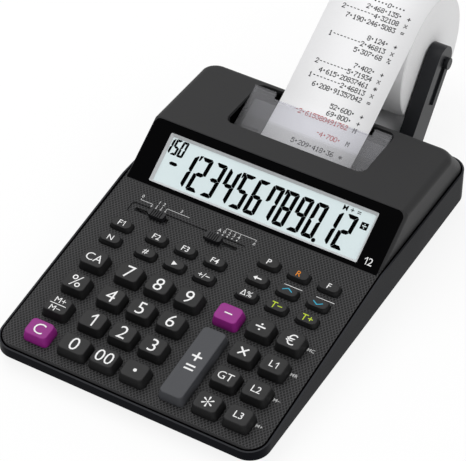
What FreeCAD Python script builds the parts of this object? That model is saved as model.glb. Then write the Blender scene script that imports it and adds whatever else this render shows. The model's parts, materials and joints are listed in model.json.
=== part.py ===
# Printing desk calculator: wedge case, keyboard, tilted display, printer and paper roll on arms.
# Millimetres, +Z up, +X to the user's right, +Y away from the user.
# The origin is under the middle of the whole object, on the desk.
import FreeCAD, Part
import math
import os

V = FreeCAD.Vector

# Driving dimensions of the case. Depths run back from the front edge, heights up from the desk.
case_width = 165.0
case_depth = 243.0
case_corner_radius = 12.0
foot_height = 2.0
undercut = 4.5
rim_ledge = 2.0
front_rim_height = 13.3
keyboard_tilt = 6.78
keyboard_set_back = 1.1
display_slope_length = 39.5
display_tilt = 31.7
hump_length = 59.6
hump_fall = 3.0
rear_slope_depth = 15.7
rear_rim_height = 26.0
wall = 2.2
floor_thickness = 2.4
hump_edge_radius = 4.0
rim_chamfer = 1.0
seat_depth = 3.0
rim_rise_depth = 1.5
rim_rise_height = 0.6
fit_gap = 0.3
seat_gap = 0.05
edge_bevel = 0.35

# Tool sizes: how far a cut runs past its work, the reach of a cut, and the limits for picking edges.
overrun = 1.0
cut_reach = 20.0
headroom = 100.0
near_zero = 0.01
shortest_edge = 0.001
long_edge = 20.0

# Display window and liquid crystal module, measured along the display slope.
display_side_margin = 1.4
display_margin = 0.6
display_panel_thickness = 2.0
display_corner_radius = 4.0
display_foot_radius = 0.6
lcd_side_margin = 13.1
lcd_view_height = 30.2
lcd_view_foot = 3.2
lcd_corner_radius = 0.8
lcd_frame = 2.2
lcd_thickness = 4.0

# Keys. Columns are shares of the upper case's width, rows are shares of the keyboard's length.
key_column_shares = [-0.3745, -0.236, -0.1193, -0.0025, 0.1491, 0.272, 0.3863]
key_row_shares = [0.5216, 0.38, 0.2385, 0.0969]
key_side_gap = 3.0
key_row_gap = 5.6
key_draft = 1.1
key_height = 6.0
key_radius = 2.6
key_waist = 0.3
key_shoulder = 0.86
key_crown = 0.4
key_flange = 1.0
key_flange_thickness = 1.2
key_travel = 2.2
zero_key_extra = 2.2
small_shares_left = [-0.3832, -0.2429, -0.128, -0.0124]
small_shares_right = [0.1528, 0.2671, 0.3826]
small_row_shares = [0.8509, 0.7524, 0.6616]
small_key_side_gap = 5.2
small_key_row_gap = 4.4
small_key_height = 3.2
small_key_draft = 0.9

# Slide switches in a shallow strip above the left block of keys.
switch_row_share = 0.8663
switch_column_shares = [-0.2981, -0.0727]
switch_travel = [(-12.0, 4.0), (-4.0, 12.0)]
switch_knob_width = 10.0
switch_knob_length = 5.0
switch_knob_height = 3.4
switch_knob_radius = 1.4
switch_stem_inset = 3.0
switch_stem_length = 2.2
switch_stem_reach = 2.0
switch_stem_radius = 0.5
switch_ridges = 5
switch_ridge_pitch = 1.4
switch_ridge_depth = 0.6
switch_strip_depth = 0.7
switch_strip_margin = 6.0
switch_strip_side = 1.5

# Printer recess, smoked cover, platen and paper.
paper_centre = 1.5
paper_width = 57.5
paper_thickness = 0.25
recess_width = 88.6
recess_length = 40.6
recess_to_rear = 20.4
recess_corner_radius = 5.0
recess_depth = 18.0
cover_rear_inset = 5.1
cover_front_inset = 5.0
cover_rear_height = 49.3
cover_slope = 24.0
cover_thickness = 1.5
tear_notch = 4.0
tear_notch_margin = 3.0
cover_pin_radius = 1.5
bearing_gap = 1.2
bearing_thickness = 2.4
bearing_length = 7.0
bearing_below_pin = 2.0
cover_pin_reach = 2.0
platen_radius = 6.0
platen_shaft_radius = 2.5
platen_shaft_reach = 2.0
platen_overhang = 1.0
platen_behind_hinge = 2.0
paper_to_cover = 0.8
paper_gap = 0.3
paper_leave = 2.0
paper_end_turn = 34.0
paper_tail = 8.0
slot_bend = 30.0
leave_bend = 60.0
slot_height = 4.4
slot_level = 15.0
slot_side_gap = 1.5
slot_inset = 4.0
slot_depth = 10.0

# Printer chassis inside the hump.
cheek_thickness = 3.0
chassis_thickness = 2.4
chassis_nose = 6.0
chassis_to_rear = 16.2
cheek_rear_height = 8.0
cheek_top = 4.0
cheek_shelf = 4.0
cheek_slope_start = 16.0
deck_gap = 5.0
deck_thickness = 2.0
deck_side_gap = 1.0
deck_end_gap = 2.0
strut_length = 6.0
drive_width = 8.0
drive_front = 8.0
drive_length = 34.0
drive_below_deck = 4.0

# Paper roll, axle and holder arms.
roll_radius = 38.0
roll_bore_radius = 6.0
axle_behind = 50.0
axle_level = 46.5
running_gap = 0.06
axle_knob_radius = 3.6
axle_knob_length = 2.4
axle_neck_radius = 2.6
arm_thickness = 9.0
arm_gap = 0.8
arm_width = 20.0
arm_foot_behind = 12.8
arm_axle_offset = 3.0
holder_base_height = 6.0
holder_base_depth = 17.0
holder_clearance = 1.2
arm_relief = 1.6
relief_length = 28.0
relief_above_axle = 2.0
relief_front = 2.4
relief_rear = 5.0

# Inside pieces, feet and battery door.
mat_thickness = 0.8
mat_pad = 0.5
board_thickness = 1.2
board_margin = 7.0
board_corner_radius = 2.0
mat_pad_side = 3.0
mat_pad_end = 1.5
mat_pad_radius = 1.5
weld = 0.2
foot_radius = 7.0
foot_seat = 1.0
foot_inset_side = 20.0
foot_inset_front = 22.0
foot_inset_rear = 24.0
foot_bevel = 0.6
door_width = 62.0
door_length = 58.0
door_thickness = 1.6
door_tongue = 1.2
door_tongue_thickness = 0.8
door_to_recess = 14.0
door_centre = -30.0
door_travel = 18.0
door_bay_margin = 4.0
door_bay_roof = 1.0
door_lip = 5.0
door_window_height = 3.0
grip_count = 5
grip_pitch = 3.0
grip_width = 1.2
grip_length = 22.0
grip_depth = 0.6
grip_from_edge = 8.0
post_radius = 4.0
post_inset = 2.0
post_end_gap = 8.0

# Worked out from the sizes above.
tilt = math.radians(keyboard_tilt)
slope = math.radians(display_tilt)
fall = math.radians(hump_fall)
lean = math.radians(cover_slope)
upper_width = case_width - 2 * rim_ledge
case_rear = case_depth - rim_ledge
front_inset = rim_ledge + keyboard_set_back
hump_depth = hump_length * math.cos(fall)
display_depth = display_slope_length * math.cos(slope)
keyboard_depth = case_rear - rear_slope_depth - hump_depth - display_depth - front_inset
keyboard_length = keyboard_depth / math.cos(tilt)
key_origin = (front_inset, front_rim_height)
display_foot = (key_origin[0] + keyboard_depth, key_origin[1] + keyboard_depth * math.tan(tilt))
display_top = (display_foot[0] + display_depth, display_foot[1] + display_slope_length * math.sin(slope))
hump_rear = (display_top[0] + hump_depth, display_top[1] - hump_length * math.sin(fall))
high = hump_rear[1] + headroom
axle_depth = case_depth + axle_behind
overall_depth = axle_depth + roll_radius
front = -overall_depth / 2
recess_rear = case_depth - recess_to_rear
recess_front = recess_rear - recess_length
cover_rear = recess_rear - cover_rear_inset
cover_front = recess_front + cover_front_inset
paper_left = paper_centre - paper_width / 2
paper_right = paper_centre + paper_width / 2
display_width = upper_width - 2 * display_side_margin
lcd_view_width = display_width - 2 * lcd_side_margin
panel_length = display_slope_length - 2 * display_margin
lcd_centre = lcd_view_foot + lcd_view_height / 2
door_left = door_centre - door_width / 2
door_right = door_centre + door_width / 2
door_front = recess_front - door_to_recess - door_length
key_columns = [share * upper_width for share in key_column_shares]
key_rows = [share * keyboard_length for share in key_row_shares]
small_columns_left = [share * upper_width for share in small_shares_left]
small_columns_right = [share * upper_width for share in small_shares_right]
small_rows = [share * keyboard_length for share in small_row_shares]
switch_columns = [share * upper_width for share in switch_column_shares]
switch_row = switch_row_share * keyboard_length


def narrowest(places):
    """The smallest step between neighbours in a row of places."""
    return min(abs(b - a) for a, b in zip(places, places[1:]))


key_width = narrowest(key_columns) - key_side_gap
key_length = narrowest(key_rows) - key_row_gap
small_key_width = min(narrowest(small_columns_left), narrowest(small_columns_right)) - small_key_side_gap
small_key_length = narrowest(small_rows) - small_key_row_gap
key_depth = wall + fit_gap + key_flange_thickness
switch_stem_width = switch_knob_width - 2 * switch_stem_inset
board_size = (upper_width - 2 * board_margin, keyboard_length - 2 * board_margin)
board_level = key_depth + key_travel + fit_gap + mat_pad + mat_thickness
axle_shoulder = arm_gap / 2
arm_foot = (case_depth + arm_foot_behind, holder_clearance + holder_base_height / 2)
arm_reach = math.hypot(axle_depth - arm_foot[0], axle_level - arm_foot[1])
arm_heading = math.atan2(axle_level - arm_foot[1], axle_depth - arm_foot[0])
arm_lean = arm_heading + math.asin(arm_axle_offset / arm_reach)
arm_length = arm_reach + arm_width / 2
os.makedirs("parts", exist_ok=True)


def point(depth, height, x=0.0):
    """A point from its depth behind the front edge and its height over the desk."""
    return V(x, front + depth, height)


def save(name, shape):
    shape.exportStep("parts/" + name + ".step")


def box(x0, x1, d0, d1, z0, z1):
    return Part.makeBox(x1 - x0, d1 - d0, z1 - z0, point(d0, z0, x0))


def rod(radius, x0, x1, depth, height):
    """A round bar across the width."""
    return Part.makeCylinder(radius, x1 - x0, point(depth, height, x0), V(1, 0, 0))


def side_prism(outline, x0, x1):
    """A side view outline of (depth, height) points, drawn out across the width."""
    points = [point(d, h, x0) for d, h in outline]
    face = Part.Face(Part.makePolygon(points + [points[0]]))
    return face.extrude(V(x1 - x0, 0, 0))


def rounded_rectangle(width, length, radius, z=0.0):
    """A wire centred on the origin, with round corners."""
    a = width / 2
    b = length / 2
    r = min(radius, 0.49 * width, 0.49 * length)
    k = r * math.sqrt(0.5)
    edges = []
    ends = []
    for sx, sy in ((1, 1), (-1, 1), (-1, -1), (1, -1)):
        x = sx * (a - r)
        y = sy * (b - r)
        beside = V(x + sx * r, y, z)
        beyond = V(x, y + sy * r, z)
        first, last = (beside, beyond) if sx == sy else (beyond, beside)
        ends.append((first, last))
        edges.append(Part.Arc(first, V(x + sx * k, y + sy * k, z), last).toShape())
    wire = []
    for i in range(4):
        wire.append(edges[i])
        wire.append(Part.makeLine(ends[i][1], ends[(i + 1) % 4][0]))
    return Part.Wire(wire)


def plate(width, length, thickness, radius):
    return Part.Face(rounded_rectangle(width, length, radius)).extrude(V(0, 0, thickness))


def plan_prism(inset, radius, rear, z0, z1):
    """The rounded plan outline of the case, inset from its edges and drawn up."""
    length = rear - inset
    solid = plate(case_width - 2 * inset, length, z1 - z0, radius)
    solid.translate(point(inset + length / 2, z0))
    return solid


def leaning_plan(inset):
    """The rounded plan outline of the upper case, leaning with its rear slope to round the hump's corners."""
    foot = rear_rim_height + rim_chamfer
    wire = rounded_rectangle(upper_width - 2 * inset, 2 * case_depth, case_corner_radius - rim_ledge - inset)
    travel = headroom / (hump_rear[1] - foot) * rear_slope_depth
    solid = Part.Face(wire).extrude(V(0, -2 * travel, 2 * headroom))
    solid.translate(point(case_rear - inset - case_depth + travel, foot - headroom))
    return solid


def display_plate(grow, thickness):
    """The display panel's outline, grown a little: round corners above, nearly square ones below."""
    width = display_width + 2 * grow
    length = panel_length + 2 * grow
    whole = plate(width, length, thickness, display_corner_radius)
    foot = plate(width, length / 2, thickness, display_foot_radius)
    foot.translate(V(0, -length / 4, 0))
    return whole.fuse(foot).removeSplitter()


def on_slope(shape, angle, foot, x, distance, height=0.0):
    """Lays a shape made flat at the origin onto a slope that starts at foot."""
    placed = shape.copy()
    placed.rotate(V(0, 0, 0), V(1, 0, 0), math.degrees(angle))
    depth = foot[0] + distance * math.cos(angle) - height * math.sin(angle)
    level = foot[1] + distance * math.sin(angle) + height * math.cos(angle)
    placed.translate(point(depth, level, x))
    return placed


def on_keyboard(shape, x, distance, height=0.0):
    return on_slope(shape, tilt, key_origin, x, distance, height)


def on_display(shape, distance, height=0.0):
    return on_slope(shape, slope, display_foot, 0.0, distance, height)


def offset_line(p, q, distance):
    """Moves the line from p to q sideways to its left."""
    length = math.hypot(q[0] - p[0], q[1] - p[1])
    shift = (-(q[1] - p[1]) / length * distance, (q[0] - p[0]) / length * distance)
    return (p[0] + shift[0], p[1] + shift[1]), (q[0] + shift[0], q[1] + shift[1])


def crossing(a, b, c, d):
    """Where the lines a-b and c-d meet."""
    u = (b[0] - a[0], b[1] - a[1])
    w = (d[0] - c[0], d[1] - c[1])
    t = ((c[0] - a[0]) * w[1] - (c[1] - a[1]) * w[0]) / (u[0] * w[1] - u[1] * w[0])
    return (a[0] + t * u[0], a[1] + t * u[1])


def inset_outline(outline, distance):
    """A closed outline moved inwards, for an outline that runs anticlockwise."""
    count = len(outline)
    lines = [offset_line(outline[i], outline[(i + 1) % count], distance) for i in range(count)]
    return [crossing(*lines[i - 1], *lines[i]) for i in range(count)]


# Side outlines shared by both halves of the case.
rim_at_display = (display_foot[0] + rim_rise_depth, display_foot[1] + rim_rise_height)
rim_line = [(-overrun, front_rim_height - rim_chamfer), rim_at_display, (case_depth + overrun, rear_rim_height)]


def rim_height(depth):
    """The height of the joint line between the two halves of the case."""
    for (d0, h0), (d1, h1) in zip(rim_line, rim_line[1:]):
        if depth <= d1:
            return h0 + (h1 - h0) * (depth - d0) / (d1 - d0)
    return rim_line[-1][1]


def below_rim(drop, base):
    """Outline of everything under the joint line, lowered by a drop."""
    low = [(d, h - drop) for d, h in rim_line]
    return [(-overrun, base), (case_depth + overrun, base), low[2], low[1], low[0]]


def above_rim(drop):
    """Outline of everything over the joint line, lowered by a drop."""
    low = [(d, h - drop) for d, h in rim_line]
    return low + [(case_depth + overrun, high), (-overrun, high)]


def upper_outline(nose):
    """Side outline of the upper case, anticlockwise from its front foot to the points of its nose."""
    foot = [(d, rim_height(d) - seat_depth) for d in (rim_ledge, rim_at_display[0], case_rear)]
    back = [(case_rear, rear_rim_height + rim_chamfer), hump_rear]
    return foot + back + [display_top, display_foot] + nose


def make_lower_case():
    base = foot_height
    outer = plan_prism(0.0, case_corner_radius, case_depth, base, high)
    edges = [e for e in outer.Edges if e.BoundBox.ZMax < base + near_zero]
    outer = outer.makeChamfer(undercut, edges)
    outer = outer.common(side_prism(below_rim(0.0, base), -case_width, case_width))
    across = case_width
    step = rim_ledge + wall
    body = plan_prism(step, case_corner_radius - step, case_depth - step, base + floor_thickness, high)
    thin = undercut + wall
    wide = plan_prism(thin / 2, case_corner_radius - thin / 2, case_depth - thin / 2, base + undercut, high)
    wide = wide.common(side_prism(below_rim(seat_depth + wall, base), -across, across))
    mouth_inset = rim_ledge - seat_gap
    mouth = plan_prism(mouth_inset, case_corner_radius - mouth_inset, case_depth - mouth_inset, base, high)
    mouth = mouth.common(side_prism(above_rim(seat_depth), -across, across))
    shell = outer.cut(body).cut(wide).cut(mouth)
    shell = shell.cut(paper_slot(slot_depth))
    bay = box(door_left - door_bay_margin, door_right + door_bay_margin,
              door_front - door_travel - door_bay_margin, door_front + door_length + door_bay_margin,
              base, base + door_thickness + 2 * fit_gap + door_bay_roof)
    shell = shell.fuse(bay)
    shell = shell.cut(door_track())
    for x, depth in foot_places():
        shell = shell.cut(Part.makeCylinder(foot_radius + seat_gap, foot_seat, point(depth, base, x)))
    for x, depth in post_places():
        foot = base + floor_thickness - weld
        post = Part.makeCylinder(post_radius, board_bottom(depth) + post_radius - foot, point(depth, foot, x))
        post = post.cut(board_underside())
        shell = shell.fuse(post)
    return shell.removeSplitter()


def paper_slot(depth):
    """The slot in the rear wall where the paper comes in from the roll."""
    x0 = paper_left - slot_side_gap
    x1 = paper_right + slot_side_gap
    low = slot_level - slot_height / 2
    return box(x0, x1, case_depth - depth, case_depth + overrun, low, low + slot_height)


def door_track():
    """The T-shaped track under the floor, where the battery door runs towards the front."""
    base = foot_height
    top = base + door_thickness + fit_gap
    shallow = base + door_thickness - door_tongue_thickness - fit_gap
    d0 = door_front - door_travel
    d1 = door_front + door_length + fit_gap
    middle = box(door_left - fit_gap, door_right + fit_gap, d0, d1, base - overrun, top)
    sides = box(door_left - door_tongue - fit_gap, door_right + door_tongue + fit_gap, d0, d1, shallow, top)
    window = box(door_left + door_lip, door_right - door_lip, door_front + door_lip,
                 door_front + door_length - door_lip, base, base + floor_thickness + door_window_height)
    return middle.fuse(sides).fuse(window)


def make_battery_door():
    base = foot_height
    middle = box(door_left, door_right, door_front, door_front + door_length, base, base + door_thickness)
    tongue = box(door_left - door_tongue, door_right + door_tongue, door_front, door_front + door_length,
                 base + door_thickness - door_tongue_thickness, base + door_thickness)
    door = middle.fuse(tongue).removeSplitter()
    for i in range(grip_count):
        depth = door_front + grip_from_edge + grip_pitch * i
        groove = box(door_centre - grip_length / 2, door_centre + grip_length / 2, depth, depth + grip_width,
                     base - overrun, base + grip_depth)
        door = door.cut(groove)
    return door


def key_hole(width, length, radius):
    hole = plate(width + 2 * fit_gap, length + 2 * fit_gap, 2 * cut_reach, radius + fit_gap)
    hole.translate(V(0, 0, -cut_reach))
    return hole


def hump_height(depth):
    """Height of the hump's top face."""
    return display_top[1] - (depth - display_top[0]) * math.tan(fall)


def on_crest(edge):
    """Whether an edge of the upper case is a side or rear edge of the hump or a side of the display slope."""
    b = edge.BoundBox
    if b.XLength < near_zero and b.YLength > long_edge and b.ZMin > display_foot[1] - near_zero:
        return True
    places = [v.Point for v in edge.Vertexes] + [edge.CenterOfMass]
    depths = [p.y - front for p in places]
    return min(depths) > display_top[0] + long_edge and all(
        abs(p.z - hump_height(d)) < near_zero for p, d in zip(places, depths))


def make_upper_case():
    outline = upper_outline([key_origin, (rim_ledge, key_origin[1] - rim_chamfer)])
    outer = side_prism(outline, -upper_width / 2, upper_width / 2)
    plan = plan_prism(rim_ledge, case_corner_radius - rim_ledge, case_rear, 0.0, high)
    outer = outer.common(plan).common(leaning_plan(0.0)).removeSplitter()
    half = upper_width / 2
    outer = outer.makeFillet(hump_edge_radius, [e for e in outer.Edges if on_crest(e)])
    sharp_nose = (rim_ledge, key_origin[1] - (front_inset - rim_ledge) * math.tan(tilt))
    inner_outline = inset_outline(upper_outline([sharp_nose]), wall)
    inner_outline[:3] = [(d, h - 3 * wall) for d, h in inner_outline[:3]]
    inside = side_prism(inner_outline, -half + wall, half - wall)
    step = rim_ledge + wall
    inside = inside.common(plan_prism(step, case_corner_radius - step, case_rear - wall, 0.0, high))
    inside = inside.common(leaning_plan(wall))
    shell = outer.cut(inside)
    holes = [on_keyboard(key_hole(w, l, key_radius), x, s) for name, x, s, w, l, h, dr in keys]
    for column, travel in zip(switch_columns, switch_travel):
        wide = travel[1] - travel[0] + switch_stem_width
        slot = key_hole(wide + 2 * fit_gap, switch_stem_length, switch_stem_radius)
        holes.append(on_keyboard(slot, column + (travel[0] + travel[1]) / 2, switch_row))
    strip_low = switch_columns[0] + switch_travel[0][0] - switch_strip_margin
    strip_high = switch_columns[1] + switch_travel[1][1] + switch_strip_margin
    strip_length = switch_knob_length + 2 * switch_strip_side
    strip = plate(strip_high - strip_low, strip_length, cut_reach, switch_strip_side)
    holes.append(on_keyboard(strip, (strip_low + strip_high) / 2, switch_row, -switch_strip_depth))
    for hole in holes:
        shell = shell.cut(hole)
    panel = display_plate(seat_gap, cut_reach)
    shell = shell.cut(on_display(panel, display_slope_length / 2, -display_panel_thickness))
    border = 2 * (lcd_frame + fit_gap)
    view = plate(lcd_view_width + border, lcd_view_height + border, cut_reach, lcd_corner_radius)
    shell = shell.cut(on_display(view, lcd_centre, -cut_reach))
    shell = shell.cut(recess_tool())
    shell = shell.cut(paper_slot(recess_to_rear))
    for side in (-1, 1):
        shell = shell.fuse(cover_bearing(side))
    return shell.removeSplitter()


def recess_tool():
    opening = plate(recess_width, recess_length, headroom, recess_corner_radius)
    opening.translate(point(recess_front + recess_length / 2, hump_rear[1] - recess_depth))
    return opening


def cover_height(depth):
    """Top of the smoked cover at a depth."""
    return cover_rear_height + (depth - cover_rear) * math.tan(lean)


def cover_axis():
    return (cover_front, cover_height(cover_front) - cover_thickness / 2)


def cover_bearing(side):
    """A cheek that hangs from the hump and carries one hinge pin of the smoked cover."""
    d, h = cover_axis()
    x = side * (recess_width / 2 + bearing_gap)
    top = hump_height(d) - wall / 2
    low = h - cover_pin_radius - bearing_below_pin
    x0 = min(x, x + side * bearing_thickness)
    block = box(x0, x0 + bearing_thickness, d - bearing_length / 2, d + bearing_length / 2, low, top)
    return block.cut(rod(cover_pin_radius + running_gap, x0 - overrun, x0 + bearing_thickness + overrun, d, h))


def make_printer_cover():
    d0, d1 = cover_front, cover_rear
    half = recess_width / 2 - fit_gap
    drop = cover_thickness / math.cos(lean)
    top = [(d1, cover_height(d1)), (d0, cover_height(d0))]
    under = [(d, h - drop) for d, h in reversed(top)]
    sheet = side_prism(under + top, -half, half)
    notch = box(paper_left - tear_notch_margin, paper_right + tear_notch_margin, d1 - tear_notch, d1 + overrun,
                0.0, high)
    sheet = sheet.cut(notch)
    barrel = rod(cover_thickness, -half, half, *cover_axis())
    pin_reach = recess_width / 2 + bearing_gap + cover_pin_reach
    pin = rod(cover_pin_radius, -pin_reach, pin_reach, *cover_axis())
    return sheet.fuse(barrel).fuse(pin).removeSplitter()


def make_display_panel():
    panel = display_plate(0.0, display_panel_thickness - seat_gap)
    window = plate(lcd_view_width, lcd_view_height, 2 * cut_reach, lcd_corner_radius)
    window.translate(V(0, lcd_centre - display_slope_length / 2, -cut_reach))
    panel = panel.cut(window)
    edges = [e for e in panel.Edges if e.BoundBox.ZMin > display_panel_thickness - seat_gap - near_zero]
    panel = panel.makeChamfer(edge_bevel, edges)
    return on_display(panel, display_slope_length / 2, -display_panel_thickness + seat_gap)


def make_lcd_module():
    border = 2 * lcd_frame
    glass = plate(lcd_view_width + border, lcd_view_height + border, lcd_thickness, lcd_corner_radius)
    return on_display(glass, lcd_centre, -display_panel_thickness - lcd_thickness)


def make_key(width, length, height, draft):
    """A cap that tapers to its top, its skirt and the flange that keeps it under the case."""
    waist = key_waist * height
    skirt = plate(width, length, key_depth + waist, key_radius)
    skirt.translate(V(0, 0, -key_depth))
    low = rounded_rectangle(width, length, key_radius, waist)
    shoulder = rounded_rectangle(width - draft, length - draft, key_radius, key_shoulder * height)
    inset = 2 * (draft + key_crown)
    top = rounded_rectangle(width - inset, length - inset, key_radius - key_crown, height)
    cap = Part.makeLoft([low, shoulder, top], True, True)
    flange = plate(width + 2 * key_flange, length + 2 * key_flange, key_flange_thickness, key_radius)
    flange.translate(V(0, 0, -wall - fit_gap - key_flange_thickness))
    return skirt.fuse(cap).fuse(flange).removeSplitter()


def make_switch():
    knob = plate(switch_knob_width, switch_knob_length, switch_knob_height, switch_knob_radius)
    groove_width = switch_ridge_pitch / 2
    for i in range(switch_ridges):
        groove = Part.makeBox(groove_width, switch_knob_length, switch_ridge_depth + overrun)
        place = (i - (switch_ridges - 1) / 2) * switch_ridge_pitch
        bottom = switch_knob_height - switch_ridge_depth
        groove.translate(V(place - groove_width / 2, -switch_knob_length / 2, bottom))
        knob = knob.cut(groove)
    knob.translate(V(0, 0, -switch_strip_depth + fit_gap))
    reach = wall + switch_stem_reach
    stem = plate(switch_stem_width, switch_stem_length, reach + fit_gap, switch_stem_radius)
    stem.translate(V(0, 0, -reach))
    return knob.fuse(stem).removeSplitter()


def board_bottom(depth):
    """Underside of the main board, which runs parallel to the keyboard."""
    drop = (board_level + board_thickness) / math.cos(tilt)
    return key_origin[1] + (depth - key_origin[0]) * math.tan(tilt) - drop


def board_underside():
    """Everything over the underside of the board, to trim the posts that carry it."""
    d0, d1 = 0.0, case_depth
    outline = [(d0, board_bottom(d0)), (d1, board_bottom(d1)), (d1, high), (d0, high)]
    return side_prism(outline, -case_width, case_width)


def make_main_board():
    board = plate(*board_size, board_thickness, board_corner_radius)
    return on_keyboard(board, 0.0, keyboard_length / 2, -board_level - board_thickness)


def make_key_mat():
    mat = plate(*board_size, mat_thickness, board_corner_radius)
    for name, x, s, w, l, h, dr in keys:
        pad = plate(w - 2 * mat_pad_side, l - 2 * mat_pad_end, mat_pad + weld, mat_pad_radius)
        pad.translate(V(x, s - keyboard_length / 2, mat_thickness - weld))
        mat = mat.fuse(pad)
    return on_keyboard(mat.removeSplitter(), 0.0, keyboard_length / 2, -board_level)


def foot_places():
    x = case_width / 2 - foot_inset_side
    depths = (foot_inset_front, case_depth - foot_inset_rear)
    return [(side * x, depth) for depth in depths for side in (-1, 1)]


def post_places():
    x = upper_width / 2 - board_margin - post_radius - post_inset
    end = board_margin + post_end_gap
    depths = (front_inset + end, display_foot[0] - end)
    return [(side * x, depth) for depth in depths for side in (-1, 1)]


def make_feet():
    feet = []
    for x, depth in foot_places():
        foot = Part.makeCylinder(foot_radius, foot_height + foot_seat, point(depth, 0.0, x))
        edges = [e for e in foot.Edges if e.BoundBox.ZMax < near_zero]
        feet.append(foot.makeChamfer(foot_bevel, edges))
    return Part.makeCompound(feet)


def ribbon(corners, radii, thickness, x0, x1):
    """A sheet of even thickness along a side view path with rounded corners."""
    half = thickness / 2
    sides = []
    for offset in (half, -half):
        lines = [offset_line(corners[i], corners[i + 1], offset) for i in range(len(corners) - 1)]
        path = [lines[0][0]]
        path += [crossing(*lines[i], *lines[i + 1]) for i in range(len(lines) - 1)]
        path.append(lines[-1][1])
        sides.append(rounded_path(path, radii, offset))
    first, second = sides
    edges = first[0] + second[0]
    edges.append(Part.makeLine(first[1], second[1]))
    edges.append(Part.makeLine(first[2], second[2]))
    wire = Part.Wire(Part.__sortEdges__(edges))
    face = Part.Face(wire)
    sheet = face.extrude(V(x1 - x0, 0, 0))
    sheet.translate(V(x0, 0, 0))
    return sheet


def rounded_path(path, radii, offset):
    """Edges of an open path with each corner rounded, the radius changed by the side it is on."""
    edges = []
    at = path[0]
    for i in range(1, len(path) - 1):
        p, q, r = path[i - 1], path[i], path[i + 1]
        u = unit(q, p)
        w = unit(q, r)
        turn = (q[0] - p[0]) * (r[1] - q[1]) - (q[1] - p[1]) * (r[0] - q[0])
        radius = radii[i - 1] - offset if turn > 0 else radii[i - 1] + offset
        half_angle = math.acos(max(-1.0, min(1.0, u[0] * w[0] + u[1] * w[1]))) / 2
        reach = radius / math.tan(half_angle)
        start = (q[0] + u[0] * reach, q[1] + u[1] * reach)
        stop = (q[0] + w[0] * reach, q[1] + w[1] * reach)
        bisector = unit((0, 0), (u[0] + w[0], u[1] + w[1]))
        away = radius / math.sin(half_angle) - radius
        middle = (q[0] + bisector[0] * away, q[1] + bisector[1] * away)
        if math.hypot(start[0] - at[0], start[1] - at[1]) > shortest_edge:
            edges.append(Part.makeLine(point(*at), point(*start)))
        edges.append(Part.Arc(point(*start), point(*middle), point(*stop)).toShape())
        at = stop
    edges.append(Part.makeLine(point(*at), point(*path[-1])))
    return edges, point(*path[0]), point(*path[-1])


def unit(p, q):
    length = math.hypot(q[0] - p[0], q[1] - p[1])
    return ((q[0] - p[0]) / length, (q[1] - p[1]) / length)


def tangent_from(p, centre, radius, side):
    """Direction angle of the tangent from a point to a circle, on its left (1) or right (-1)."""
    distance = math.hypot(centre[0] - p[0], centre[1] - p[1])
    heading = math.atan2(centre[1] - p[1], centre[0] - p[0])
    return heading + side * math.asin(radius / distance)


def paper_line(depth):
    """Height of the printed paper under the smoked cover."""
    return cover_height(depth) - (cover_thickness + paper_to_cover) / math.cos(lean)


def platen_centre():
    reach = platen_radius + paper_gap
    touch_depth = cover_front + platen_behind_hinge
    touch = (touch_depth, paper_line(touch_depth))
    return (touch[0] + reach * math.sin(lean), touch[1] - reach * math.cos(lean))


def paper_path():
    """Corner points and radii: off the roll, in at the rear, round the platen and up over the roll."""
    axle = (axle_depth, axle_level)
    wrap = roll_radius + fit_gap + paper_thickness
    slot = (case_depth - slot_inset, slot_level)
    low = tangent_from(slot, axle, wrap, -1)
    reach = math.hypot(axle[0] - slot[0], axle[1] - slot[1])
    run = math.sqrt(reach ** 2 - wrap ** 2)
    start = (slot[0] + run * math.cos(low), slot[1] + run * math.sin(low))
    centre = platen_centre()
    near = platen_radius + paper_gap
    under = tangent_from(slot, centre, near, 1)
    face = centre[0] - near
    bottom = (face, slot[1] + (face - slot[0]) * math.tan(under))
    top = (face, paper_line(face))
    leave = (cover_rear + paper_leave, paper_line(cover_rear + paper_leave))
    rise = tangent_from(leave, axle, wrap, 1)
    end_turn = math.radians(paper_end_turn)
    end_foot = (axle[0] + wrap * math.sin(end_turn), axle[1] + wrap * math.cos(end_turn))
    end_run = (end_foot[0] + math.cos(end_turn), end_foot[1] - math.sin(end_turn))
    climb = (leave[0] + math.cos(rise), leave[1] + math.sin(rise))
    crest = crossing(leave, climb, end_foot, end_run)
    end = (end_foot[0] + paper_tail * math.cos(end_turn), end_foot[1] - paper_tail * math.sin(end_turn))
    corners = [start, slot, bottom, top, leave, crest, end]
    radii = [slot_bend, near, near, leave_bend, wrap]
    return corners, radii


def make_paper_strip():
    corners, radii = paper_path()
    return ribbon(corners, radii, paper_thickness, paper_left, paper_right)


def make_platen():
    d, h = platen_centre()
    roller = rod(platen_radius, paper_left - platen_overhang, paper_right + platen_overhang, d, h)
    reach = platen_overhang + fit_gap + cheek_thickness + platen_shaft_reach
    shaft = rod(platen_shaft_radius, paper_left - reach, paper_right + reach, d, h)
    return roller.fuse(shaft).removeSplitter()


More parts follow.
